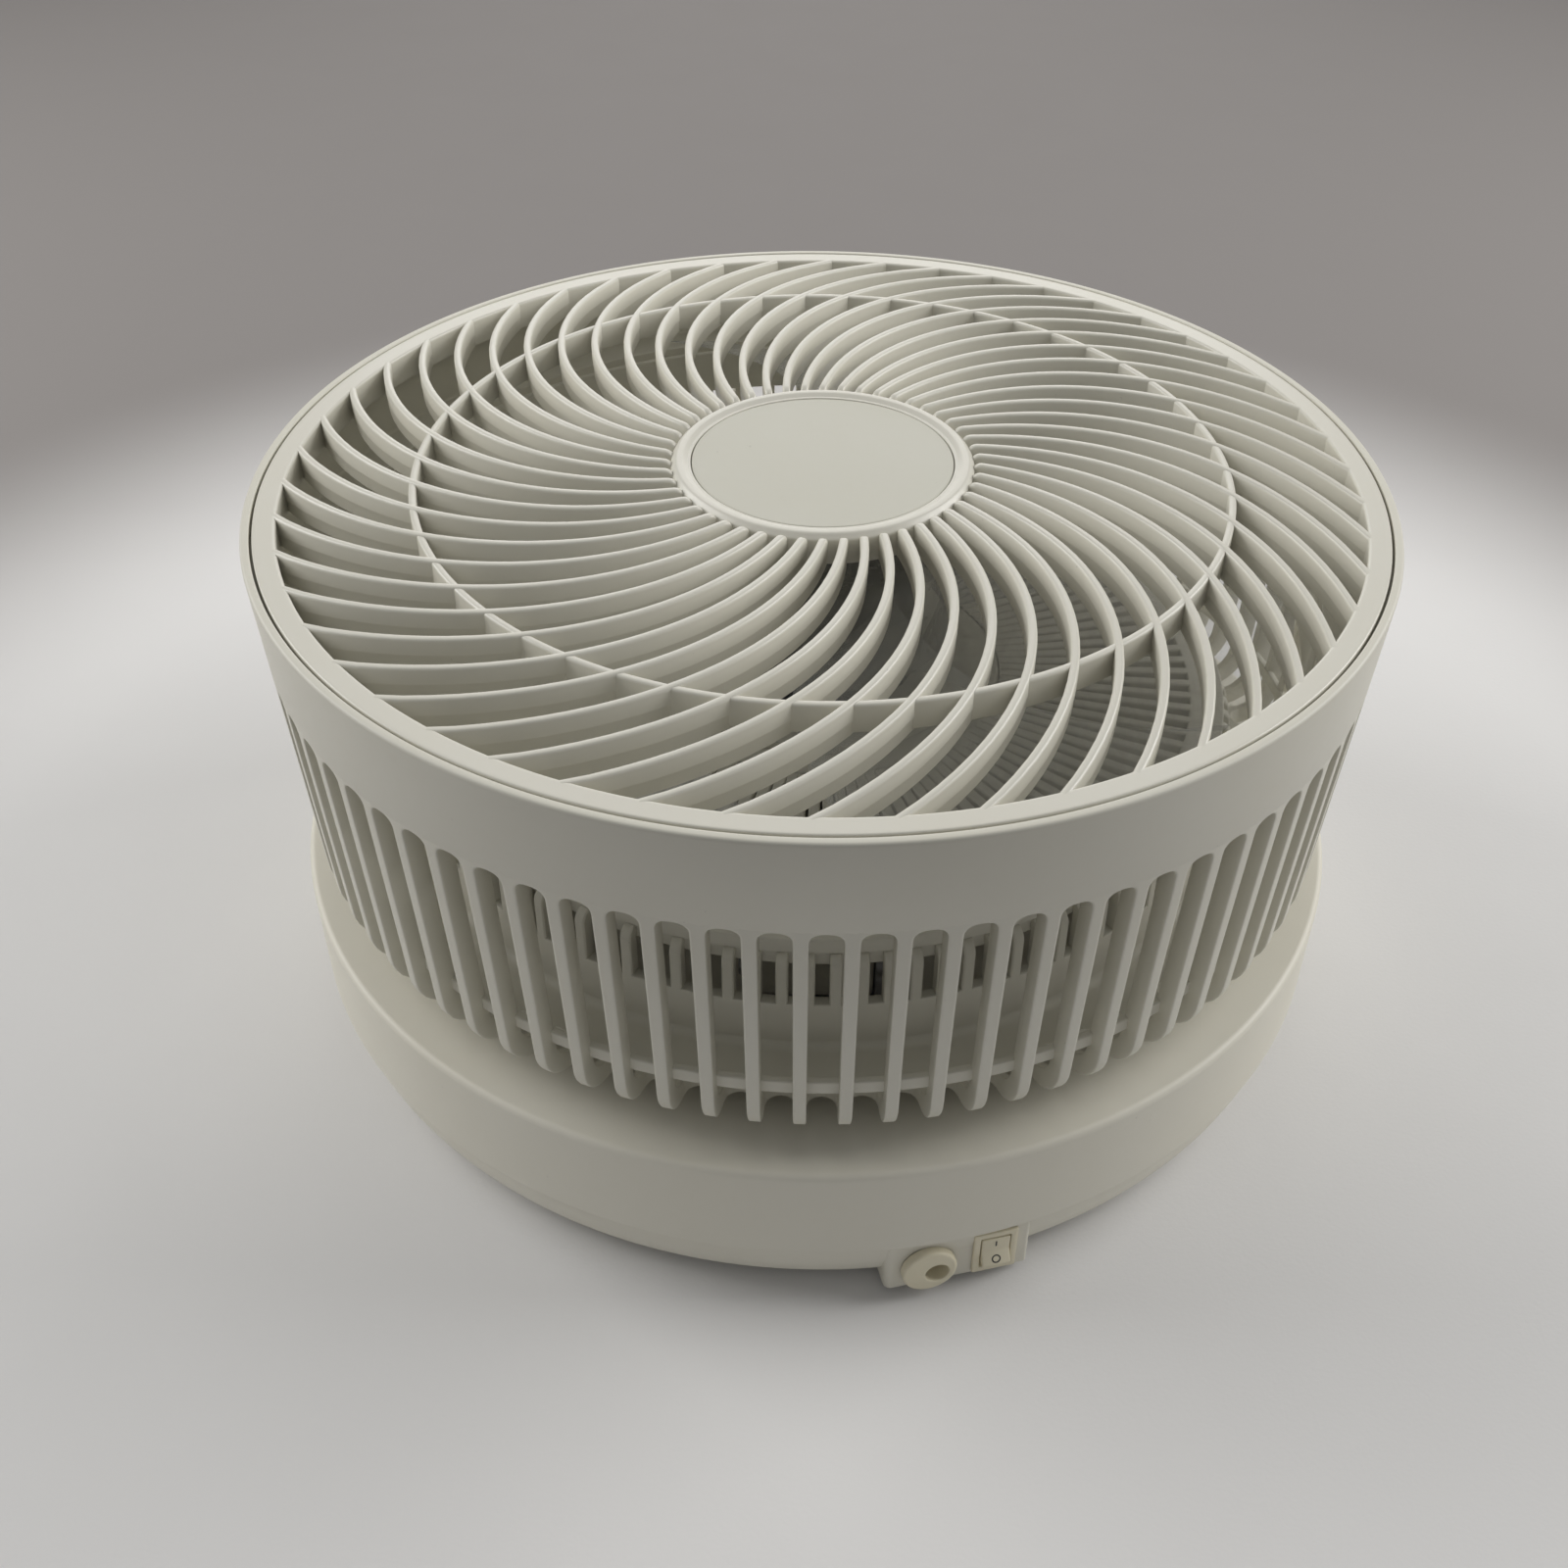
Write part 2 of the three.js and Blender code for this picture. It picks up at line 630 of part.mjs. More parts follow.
function knuckleBlock(outline, hingeY, plug) {
  const bore = barAlongX(pinRadius + clearance, knuckleHalf + overrun, hingeY, hingeHeight);
  return solid(sidePrism(outline, 2 * knuckleHalf)).add(plug).subtract(bore);
}

function poleFoot() {
  const face = tubeStart - seat;
  const top = poleHeight + tubeRadius;
  const outline = [[face, top], [face - footBlock, top],
    ...arc(-hingeReach, hingeHeight, knuckleRadius, 120, 300, knuckleFacets),
    [face, poleHeight - tubeRadius]];
  const plug = barAlongY(tubeInner(0) - clearance, face - bury, tubeStart + plugLength, poleHeight);
  return knuckleBlock(outline, -hingeReach, plug);
}
add('pole_foot', poleFoot());

for (const [i, name] of ['outer_tube', 'second_tube', 'third_tube', 'inner_tube'].entries()) {
  const start = i > 0 ? tubeStart + plugLength + i * bury : tubeStart;
  add(name, tubeAlongY(tubeInner(i), tubeOuter(i), start, tubeMouth(i)), 0xd9d9d6, 0.3, 0.9);
}
for (const [i, name] of ['outer_collar', 'second_collar', 'third_collar'].entries()) {
  const start = tubeMouth(i) + seat;
  add(name, tubeAlongY(tubeInner(i), tubeOuter(i) + collarProud, start, start + collarLength), ...dark);
}

function neck() {
  const [bottom, top] = [poleHeight - tubeRadius + seat, poleHeight + tubeRadius - seat];
  const outline = [[neckFace, bottom],
    ...arc(hingeReach, hingeHeight, knuckleRadius, -120, 60, knuckleFacets),
    [neckFace + neckBlock, top], [neckFace, top]];
  const spigot = barAlongY(tubeInner(tubeCount - 1) - clearance, neckFace - plugLength,
    neckFace + bury, poleHeight);
  return knuckleBlock(outline, hingeReach, spigot);
}
add('neck', neck());

// Head bracket under the rear guard, and the head's hinge
function headBracket() {
  const top = guardUnder - seat;
  const bottom = top - bracketPlate;
  const outline = [
    ...arc(hingeReach, hingeHeight, knuckleRadius, 180, 360, knuckleFacets),
    [bracketArm, top], [hingeReach - bracketFoot, top]];
  const arm = solid(box(-earOuter, earOuter, 0, bracketArm, bottom, top));
  const bore = barAlongX(pinRadius + clearance, earOuter + overrun, hingeReach, hingeHeight);
  return joined(ears(outline), disc(bracketDisc, bottom, top), arm).subtract(bore);
}
add('head_bracket', headBracket());
add('head_hinge_pin', hingePin(hingeReach), ...steel);

// Fan head: the slatted drum
const drumOuter = (z) => headRadius - wallTaper * (headTop - z);
const slatInner = (z) => drumOuter(z) - slatDepth;
function drumHousing() {
  const flangeTop = slotCrown + flangeThick;
  const shelf = headTop - rimThick - seat;
  const bandInner = lipInner - shelfWidth;
  const cornerTop = drumBottom + slatCorner;
  const barTop = drumBottom + barHeight;
  const blank = revolve([
    [lipInner, shelf], [lipInner, headTop], [headRadius - lipRound, headTop],
    [drumOuter(headTop - lipRound), headTop - lipRound],
    ...arc(drumOuter(cornerTop) - slatCorner, cornerTop, slatCorner, 0, -90, cornerFacets),
    [footRingInner, drumBottom], [footRingInner, barTop],
    [slatInner(barTop), barTop], [slatInner(flangeTop), flangeTop],
    [bandInner, flangeTop], [bandInner, shelf]], drumFacets, firstSlot);
  const below = drumBottom - overrun;
  const half = slotShare * Math.PI * drumOuter(slotCrown) / slotCount;
  const arch = [[-half, below], [half, below], ...arc(0, slotCrown - half, half, 0, 180, archFacets)];
  const slot = prism(arch, headRadius + overrun - footRingOuter, footRingOuter).rotateX(Math.PI / 2);
  return blank.subtract(joined(around(slot, slotCount, firstSlot)));
}
add('drum_housing', drumHousing());

// Fan head: the plain wall that closes the upper part of the slots from inside
function airGuide() {
  const top = slotCrown - seat;
  const outer = (z) => slatInner(z) - seat;
  return revolve([[outer(guideBottom) - guideWall, guideBottom], [outer(guideBottom), guideBottom],
    [outer(top), top], [outer(top) - guideWall, top]], drumFacets, firstSlot);
}
add('air_guide', airGuide());

// Fan head: the front grille with its curled fins under a shallow dome
const domeTop = (r) => headTop + domeRise * (1 - Math.min(1, r / openingRadius) ** domePower);

function finAzimuth(r) {
  const share = (r - hubRadius) / (openingRadius - hubRadius);
  return -finSweep * share - finCurl * share * Math.abs(share);
}

function fin() {
  const from = hubRadius - bury;
  const to = openingRadius + bury;
  const place = (r) => new THREE.Vector2(...direction(finAzimuth(r))).multiplyScalar(r);
  const sections = Array.from({ length: finFacets + 1 }, (_, i) => {
    const r = from + (to - from) * i / finFacets;
    const along = place(r + bury).sub(place(r - bury)).normalize();
    const side = new THREE.Vector2(-along.y, along.x).multiplyScalar(finThick / 2);
    const left = place(r).add(side);
    const right = place(r).sub(side);
    const top = domeTop(r);
    return [[left.x, left.y, top - finDepth], [right.x, right.y, top - finDepth],
      [right.x, right.y, top], [left.x, left.y, top]];
  });
  return loft(sections);
}

// The facets of the rim, the ring and the hub meet inside the fins.
function frontGrille() {
  const under = headTop - finDepth;
  const skirtOuter = openingRadius + rimSkirt;
  const rimOuter = lipInner - grilleGap;
  const rim = revolve([[openingRadius, headTop], [rimOuter, headTop], [rimOuter, headTop - rimThick],
    [skirtOuter, headTop - rimThick], [skirtOuter, under], [openingRadius, under]],
  finCount, firstFin + finAzimuth(openingRadius));
  const ringTop = domeTop(ringRadius) - ringDrop;
  const middleRing = ring(ringRadius - ringWall / 2, ringRadius + ringWall / 2,
    ringTop - finDepth + 2 * ringDrop, ringTop, finCount, firstFin + finAzimuth(ringRadius));
  const crest = hubLand / 3;
  const hub = revolve([
    [0, hubFloorTop], [hubInner, hubFloorTop], [hubInner, hubTop - lipRound],
    [hubInner + crest, hubTop], [hubRadius - crest, hubTop - lipRound],
    [hubRadius, hubTop - crest - lipRound], [hubRadius, hubTop - finDepth],
    [hubRadius - hubSkirt, hubTop - finDepth], [hubRadius - hubSkirt, hubFloorTop - hubFloor],
    [0, hubFloorTop - hubFloor]], finCount / 2, firstFin);
  return joined(rim, middleRing, hub, around(fin(), finCount, firstFin));
}
add('front_grille', frontGrille());
const capBottom = hubFloorTop + seat;
add('hub_cap', revolve([[0, capBottom], [hubInner - seat, capBottom],
  [hubInner - seat, capBottom + capThick], [0, capBottom + capThick]], finCount / 2, firstFin));

// Fan head: the rear guard, a recessed cup whose slots run down its side
function rearGuard() {
  const cornerR = guardRadius - guardCorner;
  const cornerZ = guardTop - guardCorner;
  const bottom = drumBottom + seat;
  const shell = revolve([
    [guardRadius, bottom], [guardRadius, cornerZ], [cornerR, guardTop], [guardBore, guardTop],
    [guardBore, guardUnder], [cornerR, guardUnder], [guardRadius - guardThick, cornerZ],
    [guardRadius - guardThick, bottom]], guardFacets, firstSlot);
  const far = guardRadius + overrun;
  const half = Math.PI * (far - guardPlate) / guardSlots;
  const wedge = [[0, -guardPlate], [-half, -far], [half, -far]];
  const slot = prism(wedge, guardTop + overrun - guardSlotBottom, guardSlotBottom);
  return shell.subtract(joined(around(slot, guardSlots, firstSlot)));
}
add('rear_guard', rearGuard());

// Motor: mount with its bearing tube, bearings, shaft, stator and rotor
const bearingSeat = bearingRadius + clearance;
const mountUnder = guardTop + seat;
add('motor_mount', revolve([
  [bearingSeat, guardUnder], [guardBore - seat, guardUnder], [guardBore - seat, mountUnder],
  [bracketDisc, mountUnder], [bracketDisc, mountUnder + motorPlate],
  [motorSocket, mountUnder + motorPlate], [motorSocket, motorTubeTop],
  [bearingSeat, motorTubeTop]], round));
const shaftTop = impellerTop + shaftProud;
const bearing = (bottom) => (
  ring(shaftRadius + clearance, bearingRadius, bottom, bottom + bearingWidth, round));
add('rear_bearing', bearing(guardUnder + bury), ...steel);
add('front_bearing', bearing(motorTubeTop - bearingWidth), ...steel);
add('motor_shaft', disc(shaftRadius, guardUnder + seat, shaftTop, small), ...steel);

function stator() {
  const pitch = 360 / statorPoles;
  const core = (motorSocket + statorRadius) / 2;
  const onCircle = (radius, turn) => direction(pitch * turn).map((part) => radius * part);
  const outline = Array.from({ length: statorPoles }, (_, i) => [
    onCircle(core, i - poleRootShare / 2), onCircle(statorRadius, i - poleFaceShare / 2),
    onCircle(statorRadius, i + poleFaceShare / 2), onCircle(core, i + poleRootShare / 2)]).flat();
  const top = statorBottom + statorHeight;
  return solid(prism(outline, statorHeight, statorBottom))
    .subtract(disc(motorSocket + seat, statorBottom - overrun, top + overrun));
}
add('motor_stator', stator(), 0x8a4b2c, 0.5, 0.3);
const rotorUnder = rotorTop - rotorWall;
add('motor_rotor', revolve([
  [shaftRadius + clearance, rotorTop], [rotorRadius, rotorTop], [rotorRadius, statorBottom],
  [rotorRadius - rotorWall, statorBottom], [rotorRadius - rotorWall, rotorUnder],
  [shaftRadius + clearance, rotorUnder]], round), ...dark);

// Impeller: hub cup and twisted blades in one moulding, and the nut that holds it
function blade() {
  const from = impellerHub - impellerWall / 2;
  const middle = (impellerTop + impellerBottom) / 2;
  const rise = impellerTop - impellerBottom - 2 * bladeMargin;
  const sections = Array.from({ length: bladeFacets + 1 }, (_, i) => {
    const share = i / bladeFacets;
    const r = from + (impellerRadius - from) * share;
    const pitch = deg(rootPitch + (tipPitch - rootPitch) * share);
    const chord = rise / Math.sin(pitch);
    const sweep = bladeSweep * share * share;
    // A point of the section: its place along the chord, from -0.5 to 0.5, and its height over the chord.
    const point = (along, height) => {
      const crown = height + bladeCamber * share * (1 - 4 * along * along) / 2;
      const run = along * chord * Math.cos(pitch) - crown * Math.sin(pitch);
      const [x, y] = direction(sweep + THREE.MathUtils.radToDeg(run / r));
      return [r * x, r * y, middle + along * rise + crown * Math.cos(pitch)];
    };
    return [point(-0.5, 0), point(0, -bladeThick / 2), point(0.5, 0), point(0, bladeThick / 2)];
  });
  return loft(sections);
}

function impeller() {
  const under = impellerTop - impellerWall;
  const bore = shaftRadius + clearance;
  const cupInner = impellerHub - impellerWall;
  const cup = revolve([
    [bore, impellerTop], [impellerHub - impellerRound, impellerTop],
    [impellerHub, impellerTop - impellerRound], [impellerHub, impellerBottom],
    [cupInner, impellerBottom], [cupInner, under - impellerRound], [cupInner - impellerRound, under],
    [impellerBoss, under], [impellerBoss, rotorTop + seat], [bore, rotorTop + seat]], 3 * bladeCount);
  return joined(cup, around(blade(), bladeCount, firstBlade));
}
add('impeller', impeller(), 0xdfe6e8, 0.1, 0);
const nutBottom = impellerTop + seat;
const nutTop = nutBottom + nutHeight;
add('impeller_nut', revolve([
  [0, nutTop], [nutRadius * 2 / 3, nutTop], [nutRadius, nutTop - nutHeight / 3], [nutRadius, nutBottom],
  [shaftRadius + clearance, nutBottom], [shaftRadius + clearance, shaftTop + clearance],
  [0, shaftTop + clearance]], small), ...dark);

export default fan;
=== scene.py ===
import json
import math

import bmesh
import bpy
import numpy as np
from mathutils import Matrix, Vector


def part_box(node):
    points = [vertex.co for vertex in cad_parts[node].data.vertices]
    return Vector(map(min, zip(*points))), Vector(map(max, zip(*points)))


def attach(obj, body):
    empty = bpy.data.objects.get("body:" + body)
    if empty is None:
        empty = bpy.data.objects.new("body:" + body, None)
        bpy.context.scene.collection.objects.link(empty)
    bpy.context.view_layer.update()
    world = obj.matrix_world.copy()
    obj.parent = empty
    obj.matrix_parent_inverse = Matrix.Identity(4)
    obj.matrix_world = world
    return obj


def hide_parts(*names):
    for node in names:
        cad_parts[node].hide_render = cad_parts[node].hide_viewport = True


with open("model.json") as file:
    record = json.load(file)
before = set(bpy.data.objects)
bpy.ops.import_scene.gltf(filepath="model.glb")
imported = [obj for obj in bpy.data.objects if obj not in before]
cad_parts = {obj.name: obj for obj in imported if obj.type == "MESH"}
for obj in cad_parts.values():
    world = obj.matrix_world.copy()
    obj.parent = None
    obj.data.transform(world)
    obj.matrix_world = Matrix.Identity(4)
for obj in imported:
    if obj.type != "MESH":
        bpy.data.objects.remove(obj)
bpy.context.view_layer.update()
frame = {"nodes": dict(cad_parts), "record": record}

# Sizes of the fan in millimetres, folded, with the floor at z = 0 and azimuth from -Y towards +X
MM = 0.001

# Drum: its wall narrows by the taper for each millimetre below the head's top
HEAD_RADIUS = 170
HEAD_TOP = 175
WALL_TAPER = 0.06
DRUM_BOTTOM = 62
LIP_INNER = 167.4
LIP_BOTTOM = 171.7
BAND_INNER = 164.4
FLANGE_REACH = 16
FLANGE_WALL = 3
SLOT_COUNT = 84
FIRST_SLOT = 0.8
SLOT_HALF = 4.3
SLOT_CROWN = 144.8
SLOT_RISE = 3.7
CROWN_POWER = 0.8
SLOT_EDGE = 0.45  # rounding of a slot's outer rim
EDGE_HALFWAY = 0.29 * SLOT_EDGE  # how far in that rounding is at 45 degrees
SLAT_DEPTH = 6
SLAT_CORNER = 15
FOOT_RING = (132.7, 146.3)  # inner and outer radius
FOOT_COVE = 5
TIE_RING = (158, 160.2, 79.2, 83.6)  # inner and outer radius, bottom and top
SKIRT = (130, 145.2, 2)  # bottom, top and wall
SKIRT_GAP = 0.3

# Front grille
OPENING_RADIUS = 160
RIM_OUTER = 166.6
RIM_STEP = (162.4, 172)  # radius and height of the step under the rim
FIN_COUNT = 50
FIN_HALF = 1.2
FIN_DEPTH = 9.4
FIRST_FIN = 7.75
FIN_SWEEP = 29.7
FIN_CURL = 14.3
FIN_NOSE = 2.4
FIN_STEP = 0.22
FIN_BURIED = 1.2  # how far it runs into hub and rim
DOME_RISE = 5.8
DOME_POWER = 4.5
RING_RADIUS = 121
RING_HALF = 1.1
RING_DEPTH = 8.6
RING_DROP = 0.35
HUB_RADIUS = 45.4
HUB_WALL = 2.8
HUB_INNER = 39.5
HUB_TOP = HEAD_TOP + DOME_RISE
HUB_PLATE = (175.3, 177.3)  # underside and top
CAP = (177.6, 179.9)  # underside and top
CAP_GAP = 0.3

# Rear guard
GUARD_RADIUS = 133
GUARD_WALL = 3.6
GUARD_BOTTOM = 62.3
GUARD_TOP = 106
GUARD_CORNER = 3.8
GUARD_RING = (119, 129.8, 101, 96.2)  # inner and outer radius, height of its step and of its underside
GUARD_SLOTS = 112
GUARD_SLOT_BOTTOM = 84.4
GUARD_BAR = 3.3
GUARD_PLATE = 59
GUARD_BORE = 14

# Impeller
BLADE_COUNT = 7
FIRST_BLADE = 9.5
BLADE_RADII = (40.9, 145)
BLADE_MIDDLE = 141
BLADE_HEIGHT = 27
CUP_RADIUS = 42
CUP_WALL = 2.2
CUP_HEIGHTS = (124, 158)
BOSS_RADIUS = 10
BOSS_BORE = 4.3
BOSS_BOTTOM = 136.6

# Base
BASE_RADIUS = 169.6
BASE_TOP = 56
SEAM = 22.5
SEAM_GAP = 0.3
COVER_WALL = 2.5
COVER_DRAFT = 0.3
COVER_BORE = 25.6
WELL_RADIUS = 123.6
WELL_FLOOR = 44
PAN_BOTTOM = 2.5
PAN_WALL = 2.5
PAN_RIM = BASE_RADIUS - 1.8
PAN_CORNER = 12  # how far in its wall curves on the way down
PAN_FLAT = 140
TURNTABLE_RADIUS = 123
TURNTABLE_TOP = 50
TURNTABLE_WALL = 3
SPIGOT = (21.5, 25, 35)  # inner and outer radius, bottom
BUTTON_RADIUS = 6
BUTTON_DISH = (4.4, 0.35)  # radius and depth
BUTTON_FLANGE = (51.8, 53.2)  # underside and top
PAD_RADIUS = 9
PAD_TOP = 2.2

# Control box, with places on its face given along it and above the floor
BOX_AZIMUTH = 14.6
BOX_HALF = 21.6
BOX_FACE = 167
BOX_BACK = 138
BOX_EDGE = 1.0
BOX_CORNERS = (2.2, 1.2)  # radii of the left and the right one
BOX_SPLIT = 0.6  # where its two front plates meet
BOX_MIDDLE = np.array([0, -150, 12])
INLET = (-9.1, 11.4)
INLET_RADIUS = 8.1
SOCKET = (2.2, -1.1)  # middle of the socket's hole, from the middle of the inlet
SOCKET_PLACE = (INLET[0] + SOCKET[0], INLET[1] + SOCKET[1])
SOCKET_RADIUS = 3.55
SLEEVE_RADIUS = 5.2
SLEEVE_GAP = 0.1
SWITCH = (10.9, 12.5)
SWITCH_HALF = (6.6, 8.4)
SWITCH_LAP = 0.9  # how far its frame lies over the plate's opening
POCKET_HALF = (4.5, 6.3)
POCKET_BACK = -8.6
ROCKER_PIVOT = 2.1  # behind the box's face
ROCKER_REACH = 5.17  # from the rocker's middle to its upper and lower edge
ROCKER_NOSE = 4.6
ROCKER_VALLEY = 3.45
ROCKER_BACK = 2.2
ROCKER_LEAN = math.radians(12)
MARK_AT = 2.9  # from the rocker's middle to either mark

# Pole and hinges
HINGE_REACH = 95
HINGE_HEIGHT = 62.5
HINGE_RADIUS = 9
BLOCK_HALF = 17.2
BLOCK_EDGE = 1.6
POLE_HEIGHT = 80
TUBE_RADIUS = 14.9
TUBE_STEP = 1.9
TUBE_WALL = 1.6
COLLAR_WALL = 1.5
SHOE_FACE = -86.3
NECK_FACE = 75
NECK_HALF = 14.6
EAR_AT = 19.5
EAR_HALF = 2.0
PLATE_HALF = 21.5
LOW_PLATE = (50.3, 2.5)  # underside and thickness
HIGH_PLATE = (98.1, 4)
HIGH_PLATE_RADIUS = 50
HIGH_PLATE_END = 112
PIN_RADIUS = 4
PIN_HALF = 23


# Surfaces

def points_of(*coordinates):
    """Points from arrays of their coordinates, with a single number repeated for all."""
    return np.stack(np.broadcast_arrays(*coordinates), -1)


def polar(radius, azimuth, z):
    """Points at a radius and an azimuth in degrees: (r sin a, -r cos a, z)."""
    a = np.radians(azimuth)
    return points_of(radius * np.sin(a), -radius * np.cos(a), z)


def unit(vectors):
    """The same directions, each 1 long."""
    return vectors / np.linalg.norm(vectors, axis=-1, keepdims=True)


def outward(points, quads):
    """The same faces, turned round when the volume that they enclose comes out negative."""
    a, b, c, d = points[quads.T]
    volume = (np.cross(a, b) * c + np.cross(a, c) * d).sum()
    return points, quads if volume > 0 else quads[:, ::-1]


def away_from(part, middle):
    """The same surface, with each face turned to look away from a point."""
    points, quads = part
    a, b, c, d = points[quads.T]
    wrong = (np.cross(c - a, d - b) * ((a + b + c + d) / 4 - middle)).sum(1) < 0
    return points, np.where(wrong[:, None], quads[:, ::-1], quads)


def grid(points, around=False, closed=False, capped=False, keep=None):
    """Faces between the rows and columns of an (n, m, 3) array. around joins the last column to the
    first, closed the last row to the first, and capped zips each end row shut across its middle."""
    n, m = points.shape[:2]
    index = np.arange(n * m).reshape(n, m)
    if closed:
        index = np.vstack([index, index[:1]])
    if around:
        index = np.hstack([index, index[:, :1]])
    quads = np.stack([index[:-1, :-1], index[:-1, 1:], index[1:, 1:], index[1:, :-1]], -1)
    quads = quads[keep] if keep is not None else quads.reshape(-1, 4)
    if capped:
        k = np.arange(m // 2 - 1)
        cap = np.stack([k, k + 1, m - 2 - k, m - 1 - k], -1)
        quads = np.vstack([quads, cap[:, ::-1], cap + (n - 1) * m])
    return points.reshape(-1, 3), quads


def solid(points):
    """A closed body: each row of the array is a ring of points, and the end rings are shut."""
    return outward(*grid(points, around=True, capped=True))


def together(*parts):
    """Several surfaces as one: their points one after another, with the faces counted on."""
    starts = np.cumsum([0] + [len(p) for p, _ in parts[:-1]])
    return np.vstack([p for p, _ in parts]), np.vstack([q + s for (_, q), s in zip(parts, starts)])


def repeated(part, count, start):
    """Evenly spaced copies turned round Z: copy i by start + i * 360 / count degrees."""
    points, quads = part
    a = np.radians(start + np.arange(count) * (360 / count))[:, None]
    x, y, z = points.T
    copies = points_of(np.cos(a) * x - np.sin(a) * y, np.sin(a) * x + np.cos(a) * y, z)
    shift = np.arange(count)[:, None, None] * len(points)
    return copies.reshape(-1, 3), (quads + shift).reshape(-1, 4)


def rounded(corners, steps=3, support=0.35):
    """An outline of (u, v, radius) corners as points. A corner of radius r becomes an arc that starts
    r / tan(half its angle) before it, with one more point just outside the arc at either end, which
    keeps the flat beside it evenly shaded."""
    path = []
    room = 0.49  # share of a side that the corner at one end may take
    for i, (u, v, radius) in enumerate(corners):
        here = np.array([u, v], float)
        if radius == 0:
            path.append(here)
            continue
        before, after = (np.array(corners[(i + s) % len(corners)][:2], float) - here for s in (-1, 1))
        reach_before, reach_after = np.hypot(*before), np.hypot(*after)
        before, after = before / reach_before, after / reach_after
        half = math.acos(np.clip(before @ after, -1, 1)) / 2
        run = min(radius / math.tan(half), room * reach_before, room * reach_after)
        radius = run * math.tan(half)
        middle = (before + after) / np.hypot(*(before + after))
        centre = here + middle * radius / math.sin(half)
        first, last = here + before * run - centre, here + after * run - centre
        turn = math.atan2(first[0] * last[1] - first[1] * last[0], first @ last)
        if 0 < support < room * reach_before - run:
            path.append(here + before * (run + support))
        for share in np.linspace(0, 1, steps + 1):
            c, s = math.cos(turn * share), math.sin(turn * share)
            path.append(centre + [c * first[0] - s * first[1], s * first[0] + c * first[1]])
        if 0 < support < room * reach_after - run:
            path.append(here + after * (run + support))
    return np.array(path)


def section(r0, r1, z0, z1, *edges, **settings):
    """A rectangular outline, with one rounding, or those of (r0, z0), (r1, z0), (r1, z1) and (r0, z1)."""
    edges *= 4 // len(edges)
    return rounded(list(zip((r0, r1, r1, r0), (z0, z0, z1, z1), edges)), **settings)


def turned(profile, facets):
    """A profile of (radius, height) carried round Z. One that starts on the axis also ends there."""
    r, z = profile.T
    points = polar(r, (np.arange(facets) * 360 / facets)[:, None], z)
    return outward(*grid(points, around=r[0] > 0, closed=True))


def slab(outline, half, edge, centre=0.0, steps=3):
    """An outline in the (y, z) plane made a body across X. It shrinks towards its middle line by
    edge * (1 - cos a) while x runs out to half - edge * (1 - sin a), which rounds its two rims."""
    a = np.linspace(0, math.pi / 2, steps + 1)
    x = np.r_[-half + edge * (1 - np.sin(a[::-1])), half - edge * (1 - np.sin(a))]
    inset = edge * (1 - np.cos(np.r_[a[::-1], a]))
    after, before = np.roll(outline, -1, 0), np.roll(outline, 1, 0)
    area = (outline[:, 0] * after[:, 1] - after[:, 0] * outline[:, 1]).sum()
    tangent = unit(unit(after - outline) + unit(outline - before))
    inward = points_of(-tangent[:, 1], tangent[:, 0]) * np.sign(area)
    yz = outline + inward * inset[:, None, None]
    return solid(points_of(x[:, None] + centre, yz[..., 0], yz[..., 1]))


def moved(part, matrix):
    """The same surface with its points carried by a 4 x 4 matrix."""
    points, quads = part
    m = np.array(matrix)
    return points @ m[:3, :3].T + m[:3, 3], quads


AT_BOX = Matrix.Rotation(math.radians(BOX_AZIMUTH), 4, "Z")
Z_TO_MINUS_Y = Matrix.Rotation(math.pi / 2, 4, "X")
Z_TO_Y = Matrix.Rotation(-math.pi / 2, 4, "X")
Z_TO_X = Matrix.Rotation(math.pi / 2, 4, "Y")
X_TO_Z = Matrix.Rotation(-math.pi / 2, 4, "Y")

SAME_POINT = 1e-7
CREASE = math.radians(32)


def linked(name, data):
    """A new object of the scene."""
    thing = bpy.data.objects.new(name, data)
    bpy.context.scene.collection.objects.link(thing)
    return thing


def piece(name, part, body, slot, *replaces, finish=None):
    """A surface in millimetres becomes a piece of the scene, shaded smooth below the crease angle.
    Its finish is the one named after its slot, unless another is given."""
    points, quads = part
    mesh = bpy.data.meshes.new(name)
    mesh.vertices.add(len(points))
    mesh.vertices.foreach_set("co", (points * MM).astype(np.float32).ravel())
    mesh.loops.add(quads.size)
    mesh.loops.foreach_set("vertex_index", quads.astype(np.int32).ravel())
    mesh.polygons.add(len(quads))
    mesh.polygons.foreach_set("loop_start", np.arange(0, quads.size, 4, dtype=np.int32))
    mesh.update(calc_edges=True)
    shape = bmesh.new()
    shape.from_mesh(mesh)
    bmesh.ops.remove_doubles(shape, verts=shape.verts, dist=SAME_POINT)
    bmesh.ops.dissolve_degenerate(shape, edges=shape.edges, dist=SAME_POINT)
    shape.to_mesh(mesh)
    shape.free()
    mesh.shade_smooth()
    mesh.set_sharp_from_angle(angle=CREASE)
    mesh.materials.append(FINISHES[finish or slot])
    thing = linked(name, mesh)
    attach(thing, body)
    if replaces:
        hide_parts(*replaces)


def extent(node):
    """The two corners of a node's box, in millimetres."""
    low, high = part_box(node)
    return np.array(low) / MM, np.array(high) / MM


# Finishes

